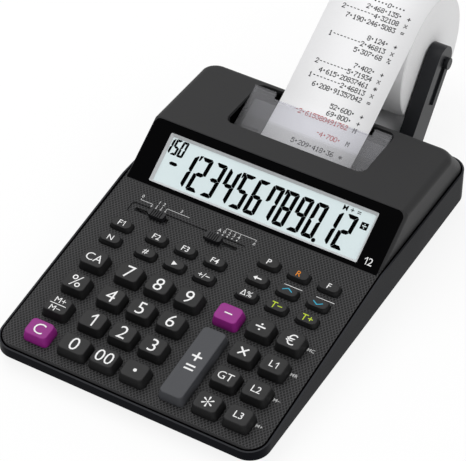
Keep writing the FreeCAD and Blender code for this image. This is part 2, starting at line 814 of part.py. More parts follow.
def make_printer_unit():
    """Chassis with a base, two cheeks that carry the platen, a sloping deck and the drive housing."""
    d, h = platen_centre()
    floor = foot_height + floor_thickness
    rear = case_depth - chassis_to_rear
    nose = d - platen_radius - chassis_nose
    beside = platen_overhang + fit_gap + cheek_thickness
    x0 = paper_left - beside
    x1 = paper_right + beside
    chassis = box(x0, x1, nose, rear, floor, floor + chassis_thickness)
    slope_start = d + cheek_slope_start
    cheek_outline = [(nose, floor), (rear, floor), (rear, floor + cheek_rear_height)]
    cheek_outline += [(slope_start, deck_height(slope_start)), (d + cheek_shelf, h + cheek_top)]
    cheek_outline += [(nose, h + cheek_top)]
    for low in (x0, x1 - cheek_thickness):
        chassis = chassis.fuse(side_prism(cheek_outline, low, low + cheek_thickness))
    deck_front = d + platen_radius + deck_end_gap
    deck_rear = cover_rear - deck_end_gap
    deck_top = [(deck_rear, deck_height(deck_rear)), (deck_front, deck_height(deck_front))]
    deck_under = [(depth, height - deck_thickness) for depth, height in reversed(deck_top)]
    deck_half = recess_width / 2 - deck_side_gap
    chassis = chassis.fuse(side_prism(deck_under + deck_top, -deck_half, deck_half))
    strut_rear = deck_rear - deck_end_gap
    strut_front = strut_rear - strut_length
    for low in (x0, x1 - cheek_thickness):
        top = deck_height(strut_front) - deck_thickness / 2
        chassis = chassis.fuse(box(low, low + cheek_thickness, strut_front, strut_rear, floor, top))
    drive_start = d - drive_front
    drive_end = drive_start + drive_length
    housing = box(x1, x1 + drive_width, drive_start, drive_end, floor, h + cheek_top)
    ends = (drive_start - overrun, drive_end + overrun)
    trim = [(depth, deck_height(depth) - drive_below_deck) for depth in ends]
    trim += [(depth, high) for depth in reversed(ends)]
    chassis = chassis.fuse(housing.cut(side_prism(trim, -case_width, case_width)))
    bore = rod(platen_shaft_radius + running_gap, x0 - cheek_thickness, x1 + cheek_thickness, d, h)
    return chassis.cut(bore).removeSplitter()


def deck_height(depth):
    """Top of the printer's deck, a little under the paper."""
    return paper_line(depth) - deck_gap


def arm_point(along, across):
    """A point of the arm from its axle: along the arm downwards and across it to the rear."""
    d = axle_depth - along * math.cos(arm_lean) + across * math.sin(arm_lean)
    h = axle_level - along * math.sin(arm_lean) - across * math.cos(arm_lean)
    return (d, h)


def arm_band(low, high_end, near_side, far_side):
    """Side outline of a straight band on the arm."""
    return [arm_point(low, near_side), arm_point(low, far_side), arm_point(high_end, far_side),
            arm_point(high_end, near_side)]


def make_arm(x0, side):
    """One arm: a leaning band with a round head and a shallow relief on its outer side."""
    x1 = x0 + arm_thickness
    half = arm_width / 2
    mid = -arm_axle_offset
    arm = side_prism(arm_band(0.0, arm_length, mid - half, mid + half), x0, x1)
    arm = arm.fuse(rod(half, x0, x1, *arm_point(0.0, mid)))
    arm = arm.cut(box(x0 - overrun, x1 + overrun, 0.0, overall_depth, -arm_length, holder_clearance))
    arm = arm.cut(box(x0 - overrun, x1 + overrun, 0.0, case_depth, -arm_length, high))
    relief_end = relief_length - relief_above_axle
    relief = arm_band(-relief_above_axle, relief_end, mid - relief_front, mid + relief_rear)
    low = x1 - arm_relief if side > 0 else x0 - overrun
    return arm.cut(side_prism(relief, low, low + arm_relief + overrun))


def make_roll_holder():
    left = paper_left - arm_gap - arm_thickness
    right = paper_right + arm_gap
    base = box(left, right + arm_thickness, case_depth, case_depth + holder_base_depth, holder_clearance,
               holder_clearance + holder_base_height)
    holder = base.fuse(make_arm(left, -1)).fuse(make_arm(right, 1))
    bore = rod(axle_neck_radius, left - overrun, right + arm_thickness + overrun, axle_depth, axle_level)
    return holder.cut(bore).removeSplitter()


def make_roll_axle():
    left = paper_left - arm_gap - arm_thickness
    right = paper_right + arm_gap + arm_thickness
    axle = rod(roll_bore_radius - running_gap, paper_left - axle_shoulder, paper_right + axle_shoulder,
               axle_depth, axle_level)
    axle = axle.fuse(rod(axle_neck_radius, left, right, axle_depth, axle_level))
    for low in (left - axle_knob_length, right):
        axle = axle.fuse(rod(axle_knob_radius, low, low + axle_knob_length, axle_depth, axle_level))
    return axle.removeSplitter()


def make_paper_roll():
    roll = rod(roll_radius, paper_left, paper_right, axle_depth, axle_level)
    return roll.cut(rod(roll_bore_radius, paper_left, paper_right, axle_depth, axle_level))


def key_list():
    """Name, column, row distance, width, length, height and draft of every key."""
    big = {}
    names = [["clear_all", "7", "8", "9", "minus", "divide", "currency"],
             ["percent", "4", "5", "6", None, "multiply", "local_1"],
             ["mark", "1", "2", "3", None, "grand_total", "local_2"],
             ["clear", "0", "00", "point", None, "total", "local_3"]]
    for row, distance in zip(names, key_rows):
        for name, x in zip(row, key_columns):
            if name:
                extra = zero_key_extra if name == "0" else 0.0
                big[name] = (x, distance, key_width + extra, key_length, key_height, key_draft)
    tall = key_rows[1] - key_rows[3] + key_length
    big["plus"] = (key_columns[4], (key_rows[1] + key_rows[3]) / 2, key_width, tall, key_height, key_draft)
    small = [(small_rows[0], [None] * 4 + ["print", "reprint", "feed"]),
             (small_rows[1], ["time", "cost", "sell", "margin", "correct", "check_up", "check_down"]),
             (small_rows[2], ["item", "count", "shift", "sign", "delta", "tax_minus", "tax_plus"])]
    for distance, row in small:
        for name, x in zip(row, small_columns_left + small_columns_right):
            if name:
                big[name] = (x, distance, small_key_width, small_key_length, small_key_height, small_key_draft)
    return [("key_" + name,) + values for name, values in big.items()]


keys = key_list()

for name, x, s, w, l, h, dr in keys:
    save(name, on_keyboard(make_key(w, l, h, dr), x, s))
for name, column in zip(("power_switch", "rounding_switch"), switch_columns):
    save(name, on_keyboard(make_switch(), column, switch_row))
save("lower_case", make_lower_case())
save("upper_case", make_upper_case())
save("display_panel", make_display_panel())
save("lcd_module", make_lcd_module())
save("key_mat", make_key_mat())
save("main_board", make_main_board())
save("printer_unit", make_printer_unit())
save("platen_roller", make_platen())
save("printer_cover", make_printer_cover())
save("roll_holder", make_roll_holder())
save("roll_axle", make_roll_axle())
save("paper_roll", make_paper_roll())
save("paper_strip", make_paper_strip())
save("battery_door", make_battery_door())
save("rubber_feet", make_feet())
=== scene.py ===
import bpy
import json
import math
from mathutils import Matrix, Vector


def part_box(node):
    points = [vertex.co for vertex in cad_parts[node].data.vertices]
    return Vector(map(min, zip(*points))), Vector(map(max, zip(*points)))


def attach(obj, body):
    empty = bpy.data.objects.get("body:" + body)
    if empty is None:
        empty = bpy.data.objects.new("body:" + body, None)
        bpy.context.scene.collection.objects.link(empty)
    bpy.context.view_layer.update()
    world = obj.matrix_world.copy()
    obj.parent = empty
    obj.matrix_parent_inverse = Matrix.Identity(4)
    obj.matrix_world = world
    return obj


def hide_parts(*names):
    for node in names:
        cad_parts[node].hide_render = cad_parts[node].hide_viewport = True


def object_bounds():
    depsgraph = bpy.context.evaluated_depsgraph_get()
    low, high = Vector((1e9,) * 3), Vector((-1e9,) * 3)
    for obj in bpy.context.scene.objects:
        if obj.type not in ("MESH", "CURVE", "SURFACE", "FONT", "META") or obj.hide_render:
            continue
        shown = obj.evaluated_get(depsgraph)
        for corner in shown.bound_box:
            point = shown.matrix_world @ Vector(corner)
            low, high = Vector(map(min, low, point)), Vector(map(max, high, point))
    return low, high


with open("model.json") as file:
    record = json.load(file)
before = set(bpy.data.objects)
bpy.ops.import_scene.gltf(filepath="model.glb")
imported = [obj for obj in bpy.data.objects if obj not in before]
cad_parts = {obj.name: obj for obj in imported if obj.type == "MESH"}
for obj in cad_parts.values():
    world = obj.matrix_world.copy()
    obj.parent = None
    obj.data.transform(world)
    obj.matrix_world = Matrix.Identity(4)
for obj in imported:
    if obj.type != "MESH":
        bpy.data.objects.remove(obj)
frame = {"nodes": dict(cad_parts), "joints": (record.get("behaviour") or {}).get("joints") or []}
cad_low, cad_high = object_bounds()
scene = bpy.context.scene
scene.view_settings.view_transform = "Standard"

MM = 0.001

# The photograph's view: image width in pixels, the camera's angles, its distance and focal length.
IMAGE_WIDTH = 466
FOCAL_PIXELS = 2376.7
VIEW_AZIMUTH = math.radians(30.23)
VIEW_ELEVATION = math.radians(43.54)
VIEW_DISTANCE = 1295.2 * MM
VIEW_TARGET = Vector((-1.5, -47.1, 35.5)) * MM
SENSOR_WIDTH = 36.0

# Slopes and sizes that the frame doesn't state by itself.
DISPLAY_TILT = math.radians(31.7)
COVER_SLOPE = math.radians(24.0)
KEY_HEIGHT = 6.0 * MM
PAPER_THICKNESS = 0.12 * MM

# How far a print stands over the face that carries it.
LEGEND_LIFT = 0.03 * MM
INK_LIFT = 0.06 * MM

# The largest corner radius of a rounded rectangle, as a share of its side.
LARGEST_CORNER = 0.499

# Joints and boxes of the CAD that the pieces take their places from.
nodes = frame["nodes"]
joints = {joint["name"]: joint for joint in frame["joints"]}
AXLE = Vector(joints["paper_roll_spin"]["pos_m"])
PLATEN_AXIS = Vector(joints["platen_spin"]["pos_m"])
key_axis = Vector(joints["key_7_press"]["axis"])
upper_low, upper_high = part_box("upper_case")
case_low, case_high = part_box("lower_case")
cover_low, cover_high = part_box("printer_cover")
paper_low, paper_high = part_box("paper_strip")
roll_low, roll_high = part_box("paper_roll")
platen_low, platen_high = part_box("platen_roller")
door_low, door_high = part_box("battery_door")
ROLL_RADIUS = (roll_high.z - roll_low.z) / 2
PLATEN_RADIUS = (platen_high.z - platen_low.z) / 2


# Sloping faces.
class Slope:
    """A sloping face: x across, s up the slope, n away from the face."""

    def __init__(self, tilt, origin):
        self.s = Vector((0, math.cos(tilt), math.sin(tilt)))
        self.n = Vector((0, -math.sin(tilt), math.cos(tilt)))
        self.origin = origin

    def point(self, x, s, n):
        return self.origin + Vector((x, 0, 0)) + self.s * s + self.n * n

    def measure(self, node):
        """Lowest and highest x, s and n of a CAD node."""
        rows = [vertex.co - self.origin for vertex in nodes[node].data.vertices]
        places = [(row.x, row.dot(self.s), row.dot(self.n)) for row in rows]
        return [(min(column), max(column)) for column in zip(*places)]


def keyboard_slope():
    """The keyboard face, from the top of one key less that key's height."""
    tilt = math.atan2(-key_axis.y, key_axis.z)
    plain = Slope(tilt, Vector((0, 0, 0)))
    top = plain.measure("key_7")[2][1]
    return Slope(tilt, plain.n * (top - KEY_HEIGHT))


keyboard = keyboard_slope()
display = Slope(DISPLAY_TILT, Vector((0, 0, 0)))
cover = Slope(COVER_SLOPE, Vector((0, 0, 0)))


# Pieces. A shape is a pair: its vertices and its faces.
def make_object(name, shape, material, smooth=False):
    verts, faces = shape
    mesh = bpy.data.meshes.new(name)
    mesh.from_pydata([tuple(v) for v in verts], [], faces)
    mesh.validate()
    mesh.update()
    mesh.materials.append(material)
    for polygon in mesh.polygons:
        polygon.use_smooth = smooth
    obj = bpy.data.objects.new(name, mesh)
    scene.collection.objects.link(obj)
    return obj


def fit(piece, body, stands_for=None):
    """Lets a piece move with a body and, where named, stand for a CAD node."""
    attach(piece, body)
    if stands_for:
        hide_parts(stands_for)


def rounded_ring(width, length, radius, steps=6):
    """Points of a rounded rectangle about the origin, anticlockwise."""
    a, b = width / 2, length / 2
    r = min(radius, LARGEST_CORNER * width, LARGEST_CORNER * length)
    points = []
    for corner, (sx, sy) in enumerate(((1, 1), (-1, 1), (-1, -1), (1, -1))):
        for i in range(steps + 1):
            angle = math.pi / 2 * (corner + i / steps)
            points.append((sx * (a - r) + r * math.cos(angle), sy * (b - r) + r * math.sin(angle)))
    return points


def level_ring(width, length, radius, z):
    return [Vector((x, y, z)) for x, y in rounded_ring(width, length, radius)]


def skin(rings, looped=False):
    """Joins rings of equal length into a tube with capped ends, or into a loop that closes on itself."""
    count, total = len(rings[0]), len(rings)
    verts = [point for ring in rings for point in ring]
    faces = []
    for r in range(total if looped else total - 1):
        near, far = r * count, (r + 1) % total * count
        for i in range(count):
            j = (i + 1) % count
            faces.append((near + i, near + j, far + j, far + i))
    if not looped:
        last = (total - 1) * count
        faces.append(tuple(reversed(range(count))))
        faces.append(tuple(range(last, last + count)))
    return verts, faces


def turned_over(shape):
    verts, faces = shape
    return verts, [tuple(reversed(face)) for face in faces]


def place_on(slope, shape, x, s, level):
    """Sets a shape onto a sloping face, at a level over it."""
    verts, faces = shape
    return [slope.point(x + v.x, s + v.y, level + v.z) for v in verts], faces


# Flat shapes, about the origin.
CAPITAL_SHARE = 0.7
LETTER_GAP = 0.1
TEXT_STEPS = 3


def extent(values):
    found = list(values)
    return min(found), max(found)


def join_shapes(shapes):
    verts, faces = [], []
    for more_verts, more_faces in shapes:
        base = len(verts)
        verts += more_verts
        faces += [tuple(base + i for i in face) for face in more_faces]
    return verts, faces


def moved(shape, x, y):
    verts, faces = shape
    return [v + Vector((x, y, 0)) for v in verts], faces


def polygon_shape(points):
    return [Vector((x, y, 0)) for x, y in points], [tuple(range(len(points)))]


def bar_shape(width, height):
    a, b = width / 2, height / 2
    return polygon_shape([(-a, -b), (a, -b), (a, b), (-a, b)])


def round_dot(radius, steps=16):
    angles = [2 * math.pi * i / steps for i in range(steps)]
    return polygon_shape([(radius * math.cos(a), radius * math.sin(a)) for a in angles])


def text_shape(words, size, weight=0.0):
    """Words set flat in the plain typeface, thickened by a share of their size."""
    curve = bpy.data.curves.new("words", "FONT")
    curve.body = words
    curve.size = size
    curve.align_x = "CENTER"
    curve.align_y = "CENTER"
    curve.offset = weight * size
    curve.resolution_u = TEXT_STEPS
    obj = bpy.data.objects.new("words", curve)
    scene.collection.objects.link(obj)
    graph = bpy.context.evaluated_depsgraph_get()
    mesh = bpy.data.meshes.new_from_object(obj.evaluated_get(graph))
    verts = [v.co.copy() for v in mesh.vertices]
    faces = [tuple(p.vertices) for p in mesh.polygons]
    bpy.data.objects.remove(obj)
    bpy.data.meshes.remove(mesh)
    bpy.data.curves.remove(curve)
    left, right = extent(v.x for v in verts)
    low, high = extent(v.y for v in verts)
    return moved((verts, faces), -(left + right) / 2, -(low + high) / 2)


def figure_one(height):
    """A figure 1 with a flag, in the weight of the other figures."""
    top = height / 2
    stroke = 0.115 * height
    flag = -0.27 * height
    tip = 0.24 * height
    foot = tip - 1.15 * stroke
    return polygon_shape([(0, -top), (stroke, -top), (stroke, top), (0.1 * stroke, top),
                          (flag, tip), (flag, foot), (0, top - 1.5 * stroke)])


def figured_text(words, size, weight=0.0):
    """Words in which every figure 1 has a flag."""
    if "1" not in words:
        return text_shape(words, size, weight)
    shapes, pen = [], 0.0
    for sign in words:
        shape = figure_one(CAPITAL_SHARE * size) if sign == "1" else text_shape(sign, size, weight)
        left, right = extent(v.x for v in shape[0])
        shapes.append(moved(shape, pen - left, 0.0))
        pen += right - left + LETTER_GAP * size
    pen -= LETTER_GAP * size
    return moved(join_shapes(shapes), -pen / 2, 0.0)


# Shader helpers.
def feed(tree, socket, value):
    """Links a socket to another one, or sets it to a number, a direction or a colour."""
    if isinstance(value, bpy.types.NodeSocket):
        tree.links.new(value, socket)
    elif socket.type == "RGBA":
        socket.default_value = (*value, 1.0)
    else:
        socket.default_value = value


def operation_node(tree, kind, operation, values):
    node = tree.nodes.new(kind)
    node.operation = operation
    for socket, value in zip(node.inputs, values):
        feed(tree, socket, value)
    return node.outputs


def math_node(tree, operation, *values):
    return operation_node(tree, "ShaderNodeMath", operation, values)[0]


def vector_node(tree, operation, *values):
    """The outputs of an operation on vectors: Vector, or Value for a length or a product."""
    return operation_node(tree, "ShaderNodeVectorMath", operation, values)


def blend(tree, mask, first, second):
    """The first colour where the mask is 0, the second where it is 1."""
    mix = tree.nodes.new("ShaderNodeMix")
    mix.data_type = "RGBA"
    feed(tree, mix.inputs["Factor"], mask)
    feed(tree, mix.inputs["A"], first)
    feed(tree, mix.inputs["B"], second)
    return mix.outputs["Result"]


def shaded(colour, share):
    return [channel * share for channel in colour]


def bump(tree, shader, height, distance, strength=1.0):
    node = tree.nodes.new("ShaderNodeBump")
    feed(tree, node.inputs["Distance"], distance)
    feed(tree, node.inputs["Strength"], strength)
    feed(tree, node.inputs["Height"], height)
    feed(tree, shader.inputs["Normal"], node.outputs["Normal"])


def mix_shaders(tree, share, first, second, output):
    mix = tree.nodes.new("ShaderNodeMixShader")
    feed(tree, mix.inputs["Fac"], share)
    tree.links.new(first.outputs[0], mix.inputs[1])
    tree.links.new(second.outputs[0], mix.inputs[2])
    tree.links.new(mix.outputs[0], output.inputs["Surface"])


def object_noise(tree, scale, detail):
    """Noise laid on a piece's own coordinates."""
    place = tree.nodes.new("ShaderNodeTexCoord")
    noise = tree.nodes.new("ShaderNodeTexNoise")
    feed(tree, noise.inputs["Vector"], place.outputs["Object"])
    feed(tree, noise.inputs["Scale"], scale)
    feed(tree, noise.inputs["Detail"], detail)
    return noise.outputs["Fac"]


# Shader groups.
FINE_GRAIN = 2500.0
FINE_DETAIL = 2.0
BROAD_GRAIN = 28.0
BROAD_DETAIL = 3.0
HATCH_LEAN = 0.75
HATCH_SHARPNESS = 2.6


def node_group(name, inputs, outputs):
    """A shader group with named inputs, each with its usual value, and outputs that are plain values."""
    group = bpy.data.node_groups.new(name, "ShaderNodeTree")
    for label, value in inputs.items():
        kind = "NodeSocketFloat" if isinstance(value, float) else "NodeSocketVector"
        socket = group.interface.new_socket(label, in_out="INPUT", socket_type=kind)
        socket.default_value = value
    for label in outputs:
        group.interface.new_socket(label, in_out="OUTPUT", socket_type="NodeSocketFloat")
    start = group.nodes.new("NodeGroupInput")
    stop = group.nodes.new("NodeGroupOutput")
    return group, start.outputs, stop.inputs


def place_group(tree, group, **values):
    node = tree.nodes.new("ShaderNodeGroup")
    node.node_tree = group
    for label, value in values.items():
        feed(tree, node.inputs[label], value)
    return node.outputs


def moulded_grain_group():
    """Fine spark-eroded grain of moulded plastic: uneven roughness, a height for bump and a broad cloud."""
    inputs = {"Scale": FINE_GRAIN, "Roughness": 0.5, "Spread": 0.1}
    group, given, result = node_group("moulded_grain", inputs, ("Roughness", "Height", "Cloud"))
    fine = object_noise(group, given["Scale"], FINE_DETAIL)
    broad = object_noise(group, BROAD_GRAIN, BROAD_DETAIL)
    swing = math_node(group, "SUBTRACT", broad, 0.5)
    swing = math_node(group, "MULTIPLY", swing, given["Spread"])
    feed(group, result["Roughness"], math_node(group, "ADD", swing, given["Roughness"]))
    feed(group, result["Height"], fine)
    feed(group, result["Cloud"], broad)
    return group


def diamond_hatch_group():
    """Fine crossed diagonal grooves, as moulded into the keyboard face."""
    group, given, result = node_group("diamond_hatch", {"Pitch": 2.0 * MM}, ("Height",))
    place = group.nodes.new("ShaderNodeTexCoord")
    split = group.nodes.new("ShaderNodeSeparateXYZ")
    feed(group, split.inputs[0], place.outputs["Object"])
    waves = []
    for lean in (HATCH_LEAN, -HATCH_LEAN):
        across = math_node(group, "MULTIPLY", split.outputs["Y"], lean)
        across = math_node(group, "ADD", split.outputs["X"], across)
        turn = math_node(group, "DIVIDE", across, given["Pitch"])
        turn = math_node(group, "MULTIPLY", turn, 2 * math.pi)
        waves.append(math_node(group, "SINE", turn))
    height = math_node(group, "MAXIMUM", *waves)
    height = math_node(group, "MAXIMUM", height, 0.0)
    feed(group, result["Height"], math_node(group, "POWER", height, HATCH_SHARPNESS))
    return group


def even_cloud_group():
    """Soft unevenness in the tone of ink, paper and the floor."""
    group, given, result = node_group("even_cloud", {"Scale": 100.0, "Detail": FINE_DETAIL}, ("Cloud",))
    feed(group, result["Cloud"], object_noise(group, given["Scale"], given["Detail"]))
    return group


def facing_group():
    """How far a surface is turned to a direction of its piece: 1 for square on, 0 for edge on."""
    group, given, result = node_group("facing", {"Direction": (0.0, 0.0, 1.0)}, ("Facing",))
    place = group.nodes.new("ShaderNodeTexCoord")
    turned = vector_node(group, "DOT_PRODUCT", place.outputs["Normal"], given["Direction"])
    feed(group, result["Facing"], turned["Value"])
    return group


GRAIN = moulded_grain_group()
HATCH = diamond_hatch_group()
CLOUD = even_cloud_group()
FACING = facing_group()


def cloud(tree, scale, detail=FINE_DETAIL):
    return place_group(tree, CLOUD, Scale=scale, Detail=detail)["Cloud"]


def facing(tree, direction):
    """The facing of a surface, which each finish compares with its own limits."""
    return place_group(tree, FACING, Direction=tuple(direction))["Facing"]


# Finishes.
USUAL_GLOSS = 0.5


def new_material(name, colour, roughness, gloss=USUAL_GLOSS):
    material = bpy.data.materials.new(name)
    material.use_nodes = True
    tree = material.node_tree
    shader = tree.nodes["Principled BSDF"]
    feed(tree, shader.inputs["Base Color"], colour)
    feed(tree, shader.inputs["Roughness"], roughness)
    feed(tree, shader.inputs["Specular IOR Level"], gloss)
    return material, tree, shader


CASE_RELIEF = 0.02 * MM
FINE_RELIEF = 0.01 * MM
PLASTIC_GLOSS = 0.15
PLASTIC_SPREAD = 0.12
PLASTIC_TONE = 0.12


def moulded_plastic(name, colour, roughness, relief=CASE_RELIEF, gloss=PLASTIC_GLOSS):
    """Plastic with a moulded grain, faint cloudiness in its colour and uneven gloss."""
    material, tree, shader = new_material(name, colour, roughness, gloss)
    grain = place_group(tree, GRAIN, Roughness=roughness, Spread=PLASTIC_SPREAD)
    low, high = shaded(colour, 1 - PLASTIC_TONE), shaded(colour, 1 + PLASTIC_TONE)
    feed(tree, shader.inputs["Base Color"], blend(tree, grain["Cloud"], low, high))
    feed(tree, shader.inputs["Roughness"], grain["Roughness"])
    bump(tree, shader, grain["Height"], relief)
    return material


CASE_SPREAD = 0.1
WALL_TONE = 0.1
# How far a surface must turn to face up for the painted highlight to fade in.
HIGHLIGHT_TURN = (0.25, 0.75)


def lower_case_plastic(name, colour, rim, roughness, gloss):
    """The lower case: dark walls with a moulded grain, and a paler painted highlight where the surface turns
    to face up.
    """
    material, tree, shader = new_material(name, colour, roughness, gloss)
    grain = place_group(tree, GRAIN, Roughness=roughness, Spread=CASE_SPREAD)
    # Painted highlight: surfaces that face up take the paler colour, for the light that falls on them from
    # above.
    highlight_mask = tree.nodes.new("ShaderNodeMapRange")
    highlight_mask.interpolation_type = "SMOOTHSTEP"
    feed(tree, highlight_mask.inputs["From Min"], HIGHLIGHT_TURN[0])
    feed(tree, highlight_mask.inputs["From Max"], HIGHLIGHT_TURN[1])
    feed(tree, highlight_mask.inputs["Value"], facing(tree, (0, 0, 1)))
    wall = blend(tree, grain["Cloud"], shaded(colour, 1 - WALL_TONE), shaded(colour, 1 + WALL_TONE))
    feed(tree, shader.inputs["Base Color"], blend(tree, highlight_mask.outputs["Result"], wall, rim))
    feed(tree, shader.inputs["Roughness"], grain["Roughness"])
    bump(tree, shader, grain["Height"], CASE_RELIEF)
    return material


FACE_GRAIN = 2200.0
FACE_LIMIT = 0.9995
HATCH_PITCH = 2.05 * MM
HATCH_RELIEF = 0.12 * MM
HATCH_STRENGTH = 0.7
# Shares of the colour for the painted shade between the hatch lines and the painted highlight on them.
HATCH_PAINTED_LIGHT = (0.2, 3.4)
PLAIN_TONES = (1.15, 1.45)
GRAIN_SHARE = 0.12


def keyboard_face_plastic(name, colour, roughness):
    """The upper case: diamond hatch on the keyboard face, with a painted highlight on its lines and painted
    shade between them, plain grain on the hump and the sides.
    """
    material, tree, shader = new_material(name, colour, roughness, PLASTIC_GLOSS)
    grain = place_group(tree, GRAIN, Scale=FACE_GRAIN, Roughness=roughness, Spread=CASE_SPREAD)
    hatch = place_group(tree, HATCH, Pitch=HATCH_PITCH)["Height"]
    on_face = math_node(tree, "GREATER_THAN", facing(tree, key_axis), FACE_LIMIT)
    # Painted light: a lit copy of the colour on the hatch lines and a shaded copy between them.
    painted_hatch_light = blend(tree, hatch, *[shaded(colour, tone) for tone in HATCH_PAINTED_LIGHT])
    plain = blend(tree, grain["Cloud"], *[shaded(colour, tone) for tone in PLAIN_TONES])
    feed(tree, shader.inputs["Base Color"], blend(tree, on_face, plain, painted_hatch_light))
    feed(tree, shader.inputs["Roughness"], grain["Roughness"])
    groove = math_node(tree, "MULTIPLY", hatch, on_face)
    relief = math_node(tree, "MULTIPLY", grain["Height"], GRAIN_SHARE)
    bump(tree, shader, math_node(tree, "ADD", groove, relief), HATCH_RELIEF, HATCH_STRENGTH)
    return material


INK_ROUGHNESS = 0.6
INK_GLOSS = 0.06
INK_SPECKLE = 1800.0
INK_TONE = 0.9


def flat_ink(name, colour, gloss=INK_GLOSS):
    """Dull printing ink, slightly uneven."""
    material, tree, shader = new_material(name, colour, INK_ROUGHNESS, gloss)
    tint = blend(tree, cloud(tree, INK_SPECKLE), shaded(colour, INK_TONE), colour)
    feed(tree, shader.inputs["Base Color"], tint)
    return material


PAPER_ROUGHNESS = 0.85
PAPER_GLOSS = 0.2
FIBRE_SCALE = 900.0
FIBRE_DETAIL = 4.0
FIBRE_TONE = 0.965
FIBRE_RELIEF = 0.03 * MM
TURN_PITCH = 0.55 * MM
TURN_WANDER = 0.8
TURN_TONE = 0.86
END_LIMIT = 0.7


def plain_paper(name, colour):
    """Uncoated paper with faint fibres, with its tree, shader, fibres and tint for what follows."""
    material, tree, shader = new_material(name, colour, PAPER_ROUGHNESS, PAPER_GLOSS)
    fibres = cloud(tree, FIBRE_SCALE, FIBRE_DETAIL)
    tint = blend(tree, fibres, shaded(colour, FIBRE_TONE), colour)
    return material, tree, shader, fibres, tint


def strip_paper(name, colour):
    material, tree, shader, fibres, tint = plain_paper(name, colour)
    feed(tree, shader.inputs["Base Color"], tint)
    bump(tree, shader, fibres, FIBRE_RELIEF)
    return material


def wound_paper(name, colour):
    """Paper on the roll, whose ends show the edges of the turns round the axle."""
    material, tree, shader, fibres, tint = plain_paper(name, colour)
    place = tree.nodes.new("ShaderNodeTexCoord")
    from_axle = vector_node(tree, "SUBTRACT", place.outputs["Object"], tuple(AXLE))["Vector"]
    flat = vector_node(tree, "MULTIPLY", from_axle, (0, 1, 1))["Vector"]
    reach = vector_node(tree, "LENGTH", flat)["Value"]
    wander = math_node(tree, "MULTIPLY", fibres, TURN_WANDER * TURN_PITCH)
    turns = math_node(tree, "DIVIDE", math_node(tree, "ADD", reach, wander), TURN_PITCH)
    wave = math_node(tree, "SINE", math_node(tree, "MULTIPLY", turns, 2 * math.pi))
    wave = math_node(tree, "ADD", math_node(tree, "MULTIPLY", wave, 0.5), 0.5)
    sideways = math_node(tree, "ABSOLUTE", facing(tree, (1, 0, 0)))
    on_end = math_node(tree, "GREATER_THAN", sideways, END_LIMIT)
    edge = math_node(tree, "MULTIPLY", math_node(tree, "SUBTRACT", 1.0, wave), on_end)
    feed(tree, shader.inputs["Base Color"], blend(tree, edge, tint, shaded(colour, TURN_TONE)))
    bump(tree, shader, math_node(tree, "MULTIPLY", wave, on_end), FIBRE_RELIEF)
    return material


SMOKE_CLOUD = 40.0
SMOKE_BODY = (0.55, 0.55, 0.57)
SMOKE_ROUGHNESS = 0.2
SMOKE_GLOSS = 0.4
SMOKE_CLEAR = ((0.97, 0.97, 0.985), (0.985, 0.985, 1.0))
# Tint of the painted shade in the band along the cover's front edge, which darkens the paper seen through it.
SMOKE_PAINTED_SHADE = (0.915, 0.915, 0.92)
SMOKE_PAINTED_SHADE_WIDTH = 15.6 * MM
SMOKE_SHARE = 0.12


def smoked_clear(name):
    """Thin smoked acrylic: mostly see-through and grey, with painted shade in a band along its front edge."""
    material, tree, shader = new_material(name, SMOKE_BODY, SMOKE_ROUGHNESS, SMOKE_GLOSS)
    clear = tree.nodes.new("ShaderNodeBsdfTransparent")
    place = tree.nodes.new("ShaderNodeTexCoord")
    split = tree.nodes.new("ShaderNodeSeparateXYZ")
    feed(tree, split.inputs[0], place.outputs["Object"])
    # Painted shade: the paper under the cover's front edge is seen darker through this band.
    in_painted_shade = math_node(tree, "LESS_THAN", split.outputs["Y"], cover_low.y + SMOKE_PAINTED_SHADE_WIDTH)
    tint = blend(tree, object_noise(tree, SMOKE_CLOUD, FINE_DETAIL), *SMOKE_CLEAR)
    feed(tree, clear.inputs["Color"], blend(tree, in_painted_shade, tint, SMOKE_PAINTED_SHADE))
    mix_shaders(tree, SMOKE_SHARE, clear, shader, tree.nodes["Material Output"])
    return material


STEEL_COLOUR = (0.55, 0.55, 0.56)
STEEL_ROUGHNESS = 0.32
STEEL_SPREAD = 0.2


def steel_finish(name):
    """Zinc plated steel with a fine grain."""
    material, tree, shader = new_material(name, STEEL_COLOUR, STEEL_ROUGHNESS)
    feed(tree, shader.inputs["Metallic"], 1.0)
    grain = place_group(tree, GRAIN, Roughness=STEEL_ROUGHNESS, Spread=STEEL_SPREAD)
    feed(tree, shader.inputs["Roughness"], grain["Roughness"])
    bump(tree, shader, grain["Height"], FINE_RELIEF)
    return material


PANEL_COLOUR = (0.0012, 0.0012, 0.0014)
PANEL_ROUGHNESS = 0.1
PANEL_SPREAD = 0.05
PANEL_GLOSS = 0.015


def gloss_black(name):
    """The polished panel round the display."""
    material, tree, shader = new_material(name, PANEL_COLOUR, PANEL_ROUGHNESS, PANEL_GLOSS)
    grain = place_group(tree, GRAIN, Roughness=PANEL_ROUGHNESS, Spread=PANEL_SPREAD)
    feed(tree, shader.inputs["Roughness"], grain["Roughness"])
    return material


LCD_TONES = ((0.61, 0.71, 0.725), (0.68, 0.78, 0.795))
LCD_HOUSING = (0.03, 0.03, 0.032)
LCD_ROUGHNESS = 0.35
LCD_LIMIT = 0.9


def lcd_surface(name):
    """Pale liquid crystal with a faint cloud on the side that is looked at, and a dark housing elsewhere."""
    material, tree, shader = new_material(name, LCD_HOUSING, LCD_ROUGHNESS)
    tint = blend(tree, place_group(tree, GRAIN)["Cloud"], *LCD_TONES)
    in_front = math_node(tree, "GREATER_THAN", facing(tree, display.n), LCD_LIMIT)
    feed(tree, shader.inputs["Base Color"], blend(tree, in_front, LCD_HOUSING, tint))
    return material


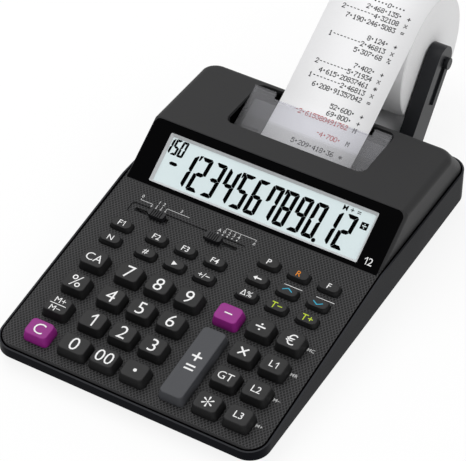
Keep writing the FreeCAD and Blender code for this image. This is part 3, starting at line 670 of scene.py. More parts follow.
WALL_BLACK = (0.0042, 0.0046, 0.0064)
# The paler grey is a painted highlight for the light on the lower case's faces that turn up.
RIM_PAINTED_HIGHLIGHT = (0.034, 0.035, 0.039)
CHARCOAL = keyboard_face_plastic("charcoal_upper_case", (0.0168, 0.0168, 0.0174), 0.5)
DARK_CASE = lower_case_plastic("dark_lower_case", WALL_BLACK, RIM_PAINTED_HIGHLIGHT, 0.32, 0.018)
# Near black for the painted shade in the joint between the halves of the case.
PAINTED_JOINT_SHADE = moulded_plastic("joint_shadow", (0.0008, 0.0008, 0.0009), 0.9, gloss=0.0)
HOLDER = moulded_plastic("dark_roll_holder", (0.0125, 0.0132, 0.0155), 0.38, gloss=0.2)
KEY_BLACK = moulded_plastic("black_key", (0.0130, 0.0130, 0.0134), 0.42, FINE_RELIEF, 0.16)
KEY_PURPLE = moulded_plastic("purple_key", (0.255, 0.019, 0.205), 0.34, FINE_RELIEF)
KEY_GREY = moulded_plastic("grey_key", (0.058, 0.060, 0.066), 0.40, FINE_RELIEF)
SWITCH_BLACK = moulded_plastic("black_switch", (0.008, 0.008, 0.009), 0.4, gloss=0.2)
PRINTER_GREY = moulded_plastic("grey_printer", (0.055, 0.055, 0.058), 0.5)
PLATEN = moulded_plastic("black_platen", (0.02, 0.02, 0.02), 0.8)
SILICONE = moulded_plastic("grey_silicone", (0.42, 0.42, 0.44), 0.7)
BOARD = moulded_plastic("green_board", (0.03, 0.16, 0.06), 0.35)
RUBBER = moulded_plastic("black_foot_rubber", (0.016, 0.016, 0.016), 0.85)
PANEL = gloss_black("gloss_display_panel")
LCD = lcd_surface("lcd_surface")
SMOKE = smoked_clear("smoked_cover")
SILVER = moulded_plastic("silver_bevel", (0.55, 0.56, 0.57), 0.3, FINE_RELIEF)
STEEL = steel_finish("screw_steel")
WHITE_INK = flat_ink("white_legend", (0.88, 0.88, 0.88))
ORANGE_INK = flat_ink("orange_legend", (0.72, 0.24, 0.03))
BLUE_INK = flat_ink("blue_legend", (0.05, 0.38, 0.55))
LIME_INK = flat_ink("lime_legend", (0.52, 0.66, 0.05))
GREY_INK = flat_ink("grey_legend", (0.60, 0.60, 0.60))
LCD_INK = flat_ink("lcd_segment", (0.0012, 0.0012, 0.0014), 0.0)
PRINT_INK = flat_ink("print_ink", (0.012, 0.012, 0.014))
RED_INK = flat_ink("red_print_ink", (0.55, 0.10, 0.10))
PAPER = strip_paper("strip_paper", (0.88, 0.88, 0.89))
ROLL_PAPER = wound_paper("wound_paper", (0.86, 0.86, 0.865))

cad_finishes = {
    "upper_case": CHARCOAL, "lower_case": DARK_CASE, "display_panel": PANEL, "lcd_module": LCD,
    "key_mat": SILICONE, "main_board": BOARD, "printer_unit": PRINTER_GREY, "platen_roller": PLATEN,
    "printer_cover": SMOKE, "roll_holder": HOLDER, "roll_axle": HOLDER, "battery_door": DARK_CASE,
    "rubber_feet": RUBBER, "power_switch": SWITCH_BLACK, "rounding_switch": SWITCH_BLACK}
for node, finish in cad_finishes.items():
    for slot in nodes[node].material_slots:
        slot.material = finish


# Keys: caps with drawn-in sides and dished tops. Waist and shoulder are shares of a key's height.
KEY_FLANGE = 1.0 * MM
KEY_WAIST = 0.28
KEY_SHOULDER = 0.085
WAIST_DRAFT = 0.1
LARGE_DRAFT = 0.85 * MM
LARGE_RADIUS = 2.4 * MM
LARGE_DISH = 0.25 * MM
SMALL_DRAFT = 0.7 * MM
SMALL_RADIUS = 2.9 * MM
SMALL_DISH = 0.1 * MM
SMALL_LIMIT = 0.7 * KEY_HEIGHT
SIDE_STEPS = 3
BEND_STEPS = 5
DISH_STEPS = (0.72, 0.42, 0.12)


class Key:
    """One key: its place on the keyboard face and the sizes of its cap."""

    def __init__(self, name):
        (x0, x1), (s0, s1), (n0, n1) = keyboard.measure(name)
        small = n1 < SMALL_LIMIT
        self.x, self.s = (x0 + x1) / 2, (s0 + s1) / 2
        self.width = x1 - x0 - 2 * KEY_FLANGE
        self.length = s1 - s0 - 2 * KEY_FLANGE
        self.height, self.depth = n1, -n0
        self.shoulder = KEY_SHOULDER * n1
        self.draft = SMALL_DRAFT if small else LARGE_DRAFT
        self.radius = SMALL_RADIUS if small else LARGE_RADIUS
        self.dish = SMALL_DISH if small else LARGE_DISH
        self.top_width = self.width - 2 * (self.draft + self.shoulder)
        self.top_length = self.length - 2 * (self.draft + self.shoulder)

    def inset_ring(self, inset, z):
        return level_ring(self.width - 2 * inset, self.length - 2 * inset, self.radius, z)

    def cap(self):
        """Straight skirt, drawn-in sides, a round shoulder and a dished top."""
        waist = KEY_WAIST * self.height
        rise = self.height - self.shoulder - waist
        rings = [self.inset_ring(0.0, -self.depth), self.inset_ring(0.0, 0.0)]
        for i in range(SIDE_STEPS + 1):
            t = i / SIDE_STEPS
            inset = self.draft * (WAIST_DRAFT + (1 - WAIST_DRAFT) * t)
            rings.append(self.inset_ring(inset, waist + rise * t))
        for i in range(1, BEND_STEPS + 1):
            angle = math.pi / 2 * i / BEND_STEPS
            inset = self.draft + self.shoulder * (1 - math.cos(angle))
            rings.append(self.inset_ring(inset, self.height - self.shoulder * (1 - math.sin(angle))))
        for t in DISH_STEPS:
            level = self.height - self.dish * (1 - t * t)
            rings.append(level_ring(self.top_width * t, self.top_length * t, self.radius * t, level))
        return place_on(keyboard, skin(rings), self.x, self.s, 0.0)

    def on_top(self, shape):
        """A flat shape laid on the dished top."""
        verts, faces = shape
        placed = []
        for v in verts:
            t = max(abs(v.x) / (self.top_width / 2), abs(v.y) / (self.top_length / 2))
            level = self.height - self.dish * (1 - min(t, 1.0) ** 2) + LEGEND_LIFT
            placed.append(keyboard.point(self.x + v.x, self.s + v.y, level))
        return placed, faces


# Legends: figures, signs and short marks.
FIGURE_SIZE = 11.9 * MM
WORD_SIZE = 6.0 * MM
SMALL_SIZE = 5.2 * MM
LARGE_WEIGHT = -0.004
SMALL_WEIGHT = 0.002
STACK_SIZE = 5.2 * MM
STACK_RISE = 0.56
STACK_LINE = (1.9, 0.09)
CHEVRON_SIZE = 2.9 * MM
TRIANGLE_SIZE = 2.2 * MM
ARROW_SIZE = 2.6 * MM
POINT_LEGEND_RADIUS = 1.05 * MM
PLUS_SIZE = 12.5 * MM
PLUS_WEIGHT = 0.004
PLUS_RISE = 4.2 * MM
EQUALS_SIZE = 11.5 * MM
EQUALS_WEIGHT = 0.006
EQUALS_DROP = 3.6 * MM


def chevron_shape(size, turn):
    """A chevron that points up for turn 1 and down for turn -1."""
    stroke = 0.24 * size
    points = [(-size, -0.25 * size * turn), (0, 0.35 * size * turn), (size, -0.25 * size * turn)]
    outline = points + [(x, y + stroke * turn) for x, y in reversed(points)]
    return polygon_shape(outline[::turn])


def triangle_shape(size):
    return polygon_shape([(-0.6 * size, -0.7 * size), (0.75 * size, 0), (-0.6 * size, 0.7 * size)])


def back_arrow_shape(size):
    head = polygon_shape([(-size, 0), (-0.2 * size, -0.6 * size), (-0.2 * size, 0.6 * size)])
    return join_shapes([head, moved(bar_shape(1.2 * size, 0.3 * size), 0.35 * size, 0)])


def stacked_legend(above, below, size):
    """Two short marks with a line between them."""
    line = bar_shape(*[share * size for share in STACK_LINE])
    return join_shapes([moved(text_shape(above, size), 0, STACK_RISE * size), line,
                        moved(text_shape(below, size), 0, -STACK_RISE * size)])


def plus_legend():
    plus = text_shape("+", PLUS_SIZE, PLUS_WEIGHT)
    equals = text_shape("=", EQUALS_SIZE, EQUALS_WEIGHT)
    return join_shapes([moved(plus, 0, PLUS_RISE), moved(equals, 0, -EQUALS_DROP)])


word_legends = {
    "key_clear_all": ("CA", 7.6 * MM), "key_percent": ("%", 11.0 * MM), "key_clear": ("C", 10.0 * MM),
    "key_minus": ("−", 10.0 * MM), "key_divide": ("÷", 12.6 * MM), "key_multiply": ("×", 13.0 * MM),
    "key_currency": ("€", 9.8 * MM), "key_grand_total": ("GT", 7.0 * MM), "key_total": ("*", 16.0 * MM),
    "key_00": ("00", 11.0 * MM), "key_local_1": ("L1", WORD_SIZE), "key_local_2": ("L2", WORD_SIZE),
    "key_local_3": ("L3", WORD_SIZE), "key_tax_minus": ("T−", WORD_SIZE), "key_tax_plus": ("T+", WORD_SIZE),
    "key_delta": ("Δ%", SMALL_SIZE), "key_count": ("#", SMALL_SIZE), "key_sign": ("+/−", SMALL_SIZE),
    "key_item": ("N", SMALL_SIZE), "key_print": ("P", SMALL_SIZE), "key_feed": ("F", SMALL_SIZE),
    "key_reprint": ("R", SMALL_SIZE), "key_time": ("F1", SMALL_SIZE), "key_cost": ("F2", SMALL_SIZE),
    "key_sell": ("F3", SMALL_SIZE), "key_margin": ("F4", SMALL_SIZE)}
word_legends.update({"key_" + figure: (figure, FIGURE_SIZE) for figure in "0123456789"})
drawn_legends = {
    "key_plus": plus_legend(), "key_mark": stacked_legend("M+", "M−", STACK_SIZE),
    "key_point": round_dot(POINT_LEGEND_RADIUS), "key_check_up": chevron_shape(CHEVRON_SIZE, 1),
    "key_check_down": chevron_shape(CHEVRON_SIZE, -1), "key_shift": triangle_shape(TRIANGLE_SIZE),
    "key_correct": back_arrow_shape(ARROW_SIZE)}
legend_inks = {
    "key_reprint": ORANGE_INK, "key_check_up": BLUE_INK, "key_check_down": BLUE_INK,
    "key_tax_minus": LIME_INK, "key_tax_plus": LIME_INK}
key_finishes = {"key_clear": KEY_PURPLE, "key_minus": KEY_PURPLE, "key_plus": KEY_GREY}


def legend_shape(name):
    if name in drawn_legends:
        return drawn_legends[name]
    words, size = word_legends[name]
    return figured_text(words, size, LARGE_WEIGHT if size > WORD_SIZE else SMALL_WEIGHT)


def make_key(name):
    """The cap and the legend of one key."""
    key = Key(name)
    plain_name = name.removeprefix("key_")
    cap = make_object("cap_" + plain_name, key.cap(), key_finishes.get(name, KEY_BLACK), smooth=True)
    fit(cap, name, name)
    shape = key.on_top(legend_shape(name))
    fit(make_object("legend_" + plain_name, shape, legend_inks.get(name, WHITE_INK)), name)


for key_name in [name for name in nodes if name.startswith("key_") and name != "key_mat"]:
    make_key(key_name)


# Display: a silver bevel down to the liquid crystal.
LCD_VIEW_WIDTH = 132.0 * MM
LCD_VIEW_HEIGHT = 30.2 * MM
BEVEL_WIDTH = 1.5 * MM
BEVEL_PLAY = 0.05 * MM
BEVEL_DROP = 0.12 * MM
BEVEL_EDGE = 0.15 * MM
BEVEL_UNDER = 0.02 * MM
BEVEL_OUTER_RADIUS = 0.8 * MM
BEVEL_INNER_RADIUS = 0.4 * MM
panel_span = display.measure("display_panel")
lcd_span = display.measure("lcd_module")
lcd_middle = sum(lcd_span[1]) / 2
lcd_top = lcd_span[2][1]
panel_top = panel_span[2][1]


def bevel_ring(inset, radius, level):
    outline = rounded_ring(LCD_VIEW_WIDTH - 2 * inset, LCD_VIEW_HEIGHT - 2 * inset, radius)
    return [display.point(x, lcd_middle + y, level) for x, y in outline]


def bevel_frame():
    """A mitred bevel from the panel's face down to the liquid crystal."""
    outer, inner = (BEVEL_PLAY, BEVEL_OUTER_RADIUS), (BEVEL_WIDTH, BEVEL_INNER_RADIUS)
    top = bevel_ring(*outer, panel_top - BEVEL_DROP)
    low = bevel_ring(*inner, lcd_top + BEVEL_EDGE)
    under = bevel_ring(*inner, lcd_top + BEVEL_UNDER)
    back = bevel_ring(*outer, lcd_top + BEVEL_UNDER)
    return turned_over(skin([top, low, under, back], looped=True))


fit(make_object("display_bevel", bevel_frame(), SILVER), "case")

# The reading: leaning digits with their marks, a small counter and signs, from the middle of the crystal.
SEGMENTS = {"0": "abcdef", "1": "bc", "2": "abged", "3": "abgcd", "4": "fgbc", "5": "afgcd", "6": "afgedc",
            "7": "abcf", "8": "abcdefg", "9": "abcdfg"}
READING = "123456789012"
COUNTER = "150"
SIGNS = "M+="
TICKED_DIGITS = (0, 3, 6)
DIGIT_LEAN = 0.08
DIGIT_PITCH = 9.19 * MM
DIGIT_WIDTH = 5.1 * MM
DIGIT_HEIGHT = 18.8 * MM
DIGIT_STROKE = 2.35 * MM
DIGIT_GAP = 0.07 * MM
FIRST_DIGIT = -49.3 * MM
DIGIT_LEVEL = -1.45 * MM
CORNER_CUT = 0.9
TICK_PLACE = (4.9 * MM, 7.3 * MM)
TICK_OUTLINE = [(0, 0), (0.8 * MM, 0.1 * MM), (2.0 * MM, 3.5 * MM), (0.1 * MM, 3.2 * MM)]
POINT_PLACE = (9.43 * DIGIT_PITCH, -10.5 * MM)
POINT_RADIUS = 1.25 * MM
MINUS_PLACE = (-57.5 * MM, -1.1 * MM)
MINUS_SIZE = (5.4 * MM, 2.0 * MM)
COUNTER_PITCH = 4.3 * MM
COUNTER_DIGIT = (2.5 * MM, 8.4 * MM)
COUNTER_STROKE = 1.35 * MM
COUNTER_GAP = 0.035 * MM
COUNTER_PLACE = (-64.5 * MM, 8.4 * MM)
SIGN_SIZE = 4.3 * MM
SIGN_WEIGHT = 0.012
SIGN_PITCH = 4.2 * MM
SIGN_PLACE = (46.4 * MM, 11.5 * MM)
BOX_SIZE = (4.3 * MM, 4.1 * MM)
BOX_PLACE = (60.6 * MM, 5.6 * MM)
BOX_ROWS = [(0.17, 0.0), (0.14, 0.16), (0.11, 0.0), (0.16, 0.6), (0.11, 0.0), (0.14, 0.16), (0.17, 0.0)]
PANEL_MARK_SIZE = 6.2 * MM
PANEL_MARK_PLACE = (72.0 * MM, 5.6 * MM)


def pointed_bar(width, stroke):
    """Points of a level bar with pointed ends."""
    a, t = width / 2, stroke / 2
    return [(-a, 0), (t - a, -t), (a - t, -t), (a, 0), (a - t, t), (t - a, t)]


def flipped(points, across, along):
    """Points mirrored across or along, still anticlockwise."""
    mirrored = [(across * x, along * y) for x, y in points]
    return mirrored if across * along > 0 else mirrored[::-1]


def seven_segment(digit, width, height, stroke, gap):
    """A leaning seven segment digit, mitred at its corners."""
    w, h, t = width / 2, height / 2, stroke / 2
    right, top, cut = w + t, h + t, CORNER_CUT * t
    level = [(t + gap - w, h - t), (w - t - gap, h - t), (right - cut / 2 - gap, top - cut / 2),
             (right - cut - gap, top), (cut + gap - right, top), (cut / 2 + gap - right, top - cut / 2)]
    upright = [(right, gap), (right, top - cut - gap), (right - cut / 2, top - cut / 2 - gap),
               (w - t, h - t - gap), (w - t, t + gap), (w, gap)]
    bars = {"a": level, "b": upright, "c": flipped(upright, 1, -1), "d": flipped(level, 1, -1),
            "e": flipped(upright, -1, -1), "f": flipped(upright, -1, 1),
            "g": pointed_bar(width - 2 * gap, stroke)}
    lit = [bars[segment] for segment in SEGMENTS[digit]]
    return join_shapes([polygon_shape([(x + DIGIT_LEAN * y, y) for x, y in bar]) for bar in lit])


def divide_box(width, height):
    """A dark box with a division sign left open in it. A row has a share of the height and an opening."""
    shapes, level = [], height / 2
    for share, opening in BOX_ROWS:
        tall = share * height
        level -= tall / 2
        if opening:
            wide = width * (1 - opening) / 2
            shapes += [moved(bar_shape(wide, tall), side * (width - wide) / 2, level) for side in (-1, 1)]
        else:
            shapes.append(moved(bar_shape(width, tall), 0, level))
        level -= tall / 2
    return join_shapes(shapes)


def lcd_reading():
    """The number on the display, its marks, the small counter above it and the signs at its right."""
    places = [FIRST_DIGIT + i * DIGIT_PITCH for i in range(len(READING))]
    shapes = []
    for digit, place in zip(READING, places):
        figure = seven_segment(digit, DIGIT_WIDTH, DIGIT_HEIGHT, DIGIT_STROKE, DIGIT_GAP)
        shapes.append(moved(figure, place, DIGIT_LEVEL))
    for i in TICKED_DIGITS:
        tick = polygon_shape(TICK_OUTLINE)
        shapes.append(moved(tick, places[i] + TICK_PLACE[0], DIGIT_LEVEL + TICK_PLACE[1]))
    shapes.append(moved(round_dot(POINT_RADIUS), places[0] + POINT_PLACE[0], DIGIT_LEVEL + POINT_PLACE[1]))
    shapes.append(moved(polygon_shape(pointed_bar(*MINUS_SIZE)), *MINUS_PLACE))
    for i, digit in enumerate(COUNTER):
        figure = seven_segment(digit, *COUNTER_DIGIT, COUNTER_STROKE, COUNTER_GAP)
        shapes.append(moved(figure, COUNTER_PLACE[0] + i * COUNTER_PITCH, COUNTER_PLACE[1]))
    for i, sign in enumerate(SIGNS):
        shape = text_shape(sign, SIGN_SIZE, SIGN_WEIGHT)
        shapes.append(moved(shape, SIGN_PLACE[0] + i * SIGN_PITCH, SIGN_PLACE[1]))
    shapes.append(moved(divide_box(*BOX_SIZE), *BOX_PLACE))
    return place_on(display, join_shapes(shapes), 0.0, lcd_middle, lcd_top + INK_LIFT)


def panel_mark():
    """The number of digits, on the panel's lower right corner."""
    x, rise = PANEL_MARK_PLACE
    shape = figured_text(str(len(READING)), PANEL_MARK_SIZE)
    return place_on(display, shape, x, panel_span[1][0] + rise, panel_top + LEGEND_LIFT)


fit(make_object("lcd_digits", lcd_reading(), LCD_INK), "case")
fit(make_object("panel_digit_mark", panel_mark(), WHITE_INK), "case")


# Painted shade in the joint between the halves of the case: a black band lying on the rim of the lower half.
SEAM_WIDTH = 1.0 * MM
SEAM_LIFT = 0.08 * MM
SEAM_RADIUS = 10.0 * MM
SEAM_PLAY = 0.02 * MM
SEAM_STEP = 4.0 * MM
SEAM_BENDS = 10
RIM_FRONT = (-1.0 * MM, 12.3 * MM)
RIM_CREST = (133.69 * MM, 29.25 * MM)
RIM_REAR = (244.0 * MM, 26.0 * MM)


def rim_level(y):
    """Height of the lower half's rim: up to the foot of the display and slowly down to the rear."""
    from_front = y - cad_low.y
    start, stop = (RIM_FRONT, RIM_CREST) if from_front <= RIM_CREST[0] else (RIM_CREST, RIM_REAR)
    share = min((from_front - start[0]) / (stop[0] - start[0]), 1.0)
    return start[1] + (stop[1] - start[1]) * share


def seam_ring():
    """The outline of the upper half, in short steps, a little over the rim."""
    width = upper_high.x - upper_low.x + 2 * SEAM_PLAY
    length = upper_high.y - upper_low.y + 2 * SEAM_PLAY
    middle = (upper_low.y + upper_high.y) / 2
    outline = rounded_ring(width, length, SEAM_RADIUS + SEAM_PLAY, SEAM_BENDS)
    ring = []
    for (xa, ya), (xb, yb) in zip(outline, outline[1:] + outline[:1]):
        count = max(1, int(math.hypot(xb - xa, yb - ya) / SEAM_STEP))
        for i in range(count):
            y = middle + ya + (yb - ya) * i / count
            ring.append(Vector((xa + (xb - xa) * i / count, y, rim_level(y) + SEAM_LIFT)))
    return ring


def joint_line():
    """A thin band of painted shade round the case, from the upper half's outline outwards."""
    inner = seam_ring()
    outer = []
    for i, p in enumerate(inner):
        along = inner[(i + 1) % len(inner)] - inner[i - 1]
        q = p + Vector((along.y, -along.x, 0)).normalized() * SEAM_WIDTH
        outer.append(Vector((q.x, q.y, rim_level(q.y) + SEAM_LIFT / 2)))
    sink = Vector((0, 0, 2 * SEAM_LIFT))
    return skin([[v - sink for v in inner], [v - sink for v in outer], outer, inner], looped=True)


fit(make_object("case_joint_line", joint_line(), PAINTED_JOINT_SHADE), "case")

# Printed marks on the keyboard face, placed from the keys and switches beside them.
MARK_SIZE = 3.1 * MM
MARK_WEIGHT = 0.004
MARK_LINE = 0.3 * MM
STOP_RADIUS = 0.45 * MM
STOP_PITCH = 3.0 * MM
STOP_LEVEL = 2.6 * MM
POWER_WORDS = "0123"
POWER_FIRST_STOP = -7.0 * MM
POWER_FIGURES = (-14.8 * MM, -4.0 * MM, -1.0 * MM, 10.2 * MM)
POWER_LEVEL = 7.0 * MM
POWER_LINES = (4.2 * MM, 5.0 * MM)
POWER_LINE_END = 16.3 * MM
ROUNDING_WORDS = "A0234"
ROUNDING_FIRST_STOP = -0.4 * MM
ROUNDING_LEVEL = 5.0 * MM
ROUNDING_LINE = 7.7 * MM
ROUNDING_LINE_END = 21.3 * MM
LINE_DROP = 1.1 * MM
MEMORY_WORDS = {"key_currency": "MC", "key_local_1": "MR", "key_local_2": "M−", "key_local_3": "M+"}
MEMORY_PLACE = (10.6 * MM, 2.0 * MM)
CHECK_LINE = (11.0 * MM, 0.35 * MM)
CHECK_SHIFTS = {"key_check_up": 0.5 * MM, "key_check_down": 1.5 * MM}
CHECK_LEVEL = 0.7 * MM


def face_text(words, x, s):
    return moved(text_shape(words, MARK_SIZE, MARK_WEIGHT), x, s)


def face_line(x0, s0, x1, s1):
    """A fine level or upright line."""
    bar = bar_shape(abs(x1 - x0) + MARK_LINE, abs(s1 - s0) + MARK_LINE)
    return moved(bar, (x0 + x1) / 2, (s0 + s1) / 2)


def middle_and_top(name):
    """The middle of a key or switch across the face, and its upper edge."""
    (x0, x1), (s0, s1), _ = keyboard.measure(name)
    return (x0 + x1) / 2, s1


def switch_stops(x, s, first, count):
    """Places of a switch's stops across the face, and their dots."""
    stops = [x + first + i * STOP_PITCH for i in range(count)]
    return stops, [moved(round_dot(STOP_RADIUS), stop, s + STOP_LEVEL) for stop in stops]


def power_marks():
    """Four stops of the power switch, each joined to its figure by a fine line."""
    x, s = middle_and_top("power_switch")
    stops, marks = switch_stops(x, s, POWER_FIRST_STOP, len(POWER_WORDS))
    figures = [x + offset for offset in POWER_FIGURES]
    marks += [face_text(words, place, s + POWER_LEVEL) for words, place in zip(POWER_WORDS, figures)]
    foot = s + STOP_LEVEL
    low, high = [s + level for level in POWER_LINES]
    marks += [face_line(stops[0], foot, stops[0], low), face_line(figures[0], low, stops[0], low),
              face_line(figures[0], low, figures[0], high)]
    marks += [face_line(stop, foot, stop, high) for stop in stops[1:]]
    marks.append(face_line(stops[-1], high, x + POWER_LINE_END, high))
    return marks


def rounding_marks():
    """Five stops of the rounding switch with their figures, under a bracket of fine lines."""
    x, s = middle_and_top("rounding_switch")
    stops, marks = switch_stops(x, s, ROUNDING_FIRST_STOP, len(ROUNDING_WORDS))
    marks += [face_text(words, place, s + ROUNDING_LEVEL) for words, place in zip(ROUNDING_WORDS, stops)]
    end, level = x + ROUNDING_LINE_END, s + ROUNDING_LINE
    marks.append(face_text("±", end, s + ROUNDING_LEVEL))
    marks.append(face_line(stops[1], level, end, level))
    marks += [face_line(place, level - LINE_DROP, place, level) for place in stops[1:] + [end]]
    return marks


def memory_marks():
    """Short marks at the right of the last column of keys."""
    marks = []
    for name, words in MEMORY_WORDS.items():
        key = Key(name)
        marks.append(face_text(words, key.x + MEMORY_PLACE[0], key.s + MEMORY_PLACE[1]))
    return marks


def check_lines():
    """A fine line over each of the two arrow keys."""
    lines = []
    for name, shift in CHECK_SHIFTS.items():
        x, s = middle_and_top(name)
        lines.append(moved(bar_shape(*CHECK_LINE), x + shift, s + CHECK_LEVEL))
    return lines


def face_print(name, shapes, ink):
    shape = place_on(keyboard, join_shapes(shapes), 0.0, 0.0, LEGEND_LIFT)
    fit(make_object(name, shape, ink), "case")


face_print("face_marks", power_marks() + rounding_marks() + memory_marks(), GREY_INK)
face_print("check_lines", check_lines(), WHITE_INK)

# Paper: the web from the roll round the platen, up under the cover and over the roll, in a side view.
PAPER_GAP = 0.3 * MM
ROLL_GAP = 0.55 * MM
ROLL_WRAP = ROLL_RADIUS + ROLL_GAP
SLOT_LEVEL = 15.0 * MM
SLOT_BACK = 4.0 * MM
SLOT_RADIUS = 30.0 * MM
PAPER_LEAVE = 2.0 * MM
LEAVE_RADIUS = 60.0 * MM
PAPER_END_TURN = math.radians(34.0)
PAPER_TAIL = 8.0 * MM
ROUTE_STEP = 1.2 * MM
SAME_PLACE = 0.001 * MM


def heading(angle):
    """A flat direction of length one."""
    return Vector((math.cos(angle), math.sin(angle)))


def tangent(p, centre, radius, side):
    """Angle of the line from a point that touches a circle on one side."""
    reach = centre - p
    return math.atan2(reach.y, reach.x) + side * math.asin(radius / reach.length)


def meet(a, angle_a, b, angle_b):
    """Where two lines in the side view meet."""
    u, w = heading(angle_a), heading(angle_b)
    t = ((b.x - a.x) * w.y - (b.y - a.y) * w.x) / (u.x * w.y - u.y * w.x)
    return a + u * t


def paper_route():
    """Corners of the paper in the side view, and the radii of its bends."""
    axle = Vector((AXLE.y, AXLE.z))
    platen = Vector((PLATEN_AXIS.y, PLATEN_AXIS.z))
    near = PLATEN_RADIUS + PAPER_GAP
    slot = Vector((case_high.y - SLOT_BACK, SLOT_LEVEL))
    run = math.sqrt((axle - slot).length ** 2 - ROLL_WRAP ** 2)
    start = slot + heading(tangent(slot, axle, ROLL_WRAP, -1)) * run
    face = Vector((platen.x - near, platen.y))
    bottom = meet(slot, tangent(slot, platen, near, 1), face, math.pi / 2)
    touch = platen + heading(COVER_SLOPE + math.pi / 2) * near
    top = meet(touch, COVER_SLOPE, face, math.pi / 2)
    leave_y = cover_high.y + PAPER_LEAVE
    leave = Vector((leave_y, touch.y + (leave_y - touch.x) * math.tan(COVER_SLOPE)))
    foot = axle + heading(math.pi / 2 - PAPER_END_TURN) * ROLL_WRAP
    crest = meet(leave, tangent(leave, axle, ROLL_WRAP, 1), foot, -PAPER_END_TURN)
    end = foot + heading(-PAPER_END_TURN) * PAPER_TAIL
    return [start, slot, bottom, top, leave, crest, end], [SLOT_RADIUS, near, near, LEAVE_RADIUS, ROLL_WRAP]


def rounded_route(corners, radii, step):
    """Points along a route whose corners are arcs, about a step apart on the arcs."""
    points = [corners[0]]
    for before, corner, after, radius in zip(corners, corners[1:], corners[2:], radii):
        u = (before - corner).normalized()
        w = (after - corner).normalized()
        half = math.acos(max(-1.0, min(1.0, u.dot(w)))) / 2
        centre = corner + (u + w).normalized() * (radius / math.sin(half))
        first = corner + u * (radius / math.tan(half)) - centre
        sweep = math.pi - 2 * half
        turn = 1 if u.x * w.y - u.y * w.x < 0 else -1
        count = max(2, int(sweep * radius / step))
        for k in range(count + 1):
            c, d = heading(turn * sweep * k / count)
            points.append(centre + Vector((first.x * c - first.y * d, first.x * d + first.y * c)))
    points.append(corners[-1])
    return [p for i, p in enumerate(points) if i == 0 or (p - points[i - 1]).length > SAME_PLACE]


def left_of(a, b):
    """The left-hand normal of the way from one point to another."""
    along = (b - a).normalized()
    return Vector((-along.y, along.x))


route = rounded_route(*paper_route(), ROUTE_STEP)
lengths = [0.0]
for a, b in zip(route, route[1:]):
    lengths.append(lengths[-1] + (b - a).length)


def route_at(distance):
    """Place and left-hand normal on the paper's route."""
    i = 0
    while i < len(route) - 2 and distance > lengths[i + 1]:
        i += 1
    t = (distance - lengths[i]) / (lengths[i + 1] - lengths[i])
    return route[i] + (route[i + 1] - route[i]) * t, left_of(route[i], route[i + 1])


def paper_sheet():
    """The paper as a thin closed sheet along its route."""
    rings = []
    for i, p in enumerate(route):
        side = left_of(route[max(i - 1, 0)], route[min(i + 1, len(route) - 1)]) * (PAPER_THICKNESS / 2)
        up, down = p + side, p - side
        corners = ((paper_low.x, up), (paper_high.x, up), (paper_high.x, down), (paper_low.x, down))
        rings.append([Vector((x, place.x, place.y)) for x, place in corners])
    return skin(rings)


fit(make_object("printed_strip", paper_sheet(), PAPER, smooth=True), "case", "paper_strip")

# Print on the strip: dot characters of five by seven, row by row, and the lines from the free end downwards.
DOTS = {
    "0": ".###. #...# #...# #...# #...# #...# .###.",
    "1": "..#.. .##.. ..#.. ..#.. ..#.. ..#.. .###.",
    "2": ".###. #...# ....# ...#. ..#.. .#... #####",
    "3": "##### ...#. ..#.. ...#. ....# #...# .###.",
    "4": "...#. ..##. .#.#. #..#. ##### ...#. ...#.",
    "5": "##### #.... ####. ....# ....# #...# .###.",
    "6": "..##. .#... #.... ####. #...# #...# .###.",
    "7": "##### ....# ...#. ..#.. .#... .#... .#...",
    "8": ".###. #...# #...# .###. #...# #...# .###.",
    "9": ".###. #...# #...# .#### ....# ...#. .##..",
    "+": "..... ..#.. ..#.. ##### ..#.. ..#.. .....",
    "-": "..... ..... .###. ..... ..... ..... .....",
    ".": "..... ..... .##.. .##.. ..... ..... .....",
    "x": "..... #...# .#.#. ..#.. .#.#. #...# .....",
    "=": "..... ..... ##### ..... ##### ..... .....",
    "*": "..... ..#.. #.#.# .###. #.#.# ..#.. .....",
    "M": "#...# ##.## #.#.# #.#.# #...# #...# #...#",
    "%": "##... ##..# ...#. ..#.. .#... #..## ...##"}
PRINTED_LINES = [
    ("....0....", ""), ("2.468.135.", "+"), ("2--------4.32108", "x"), ("7.190.246.5083", "="), ("", ""),
    ("8.124.", "+"), ("1--------2.46813", "x"), ("5.307.68", "%"), ("", ""),
    ("7.402.", "+"), ("2--------5.71934", "x"), ("4.615.20837461", "*"), ("1--------2.46813", "x"),
    ("6.208.91357042", "="), ("", ""), ("52.600.", "+"), ("69.800.", "+"),
    ("-2.615380491762", "M"), ("", ""), ("-4.700.", "M"), ("", ""), ("5.209.418.36", "*")]
DOT_PITCH = Vector((0.396, 0.44)) * MM
DOT_SIZE = 0.506 * MM
MIDDLE_COLUMN = 2
MIDDLE_ROW = 3
CHARACTER_PITCH = 2.28 * MM
LINE_PITCH = 4.55 * MM
FIGURES_RIGHT = 15.0 * MM
SIGN_RIGHT = 20.5 * MM
PRINT_END = 42.5 * MM


def dot_character(sign):
    """Squares of a five by seven dot character."""
    spots = []
    for row, line in enumerate(DOTS[sign].split()):
        spots += [((column - MIDDLE_COLUMN) * DOT_PITCH.x, (MIDDLE_ROW - row) * DOT_PITCH.y)
                  for column, mark in enumerate(line) if mark == "#"]
    return [moved(bar_shape(DOT_SIZE, DOT_SIZE), x, y) for x, y in spots]


def dot_words(words, right):
    """A word of dot characters whose last one stands at the right."""
    shapes = []
    for i, sign in enumerate(reversed(words)):
        shapes += [moved(dot, right - i * CHARACTER_PITCH, 0) for dot in dot_character(sign)]
    return shapes


def on_strip(shape, base):
    """Lays a flat shape on the printed side of the strip, at a distance along its route."""
    centre = (paper_low.x + paper_high.x) / 2
    verts, faces = shape
    placed = []
    for v in verts:
        spot, normal = route_at(base + v.y)
        spot = spot + normal * (PAPER_THICKNESS / 2 + INK_LIFT)
        placed.append(Vector((centre + v.x, spot.x, spot.y)))
    return placed, faces


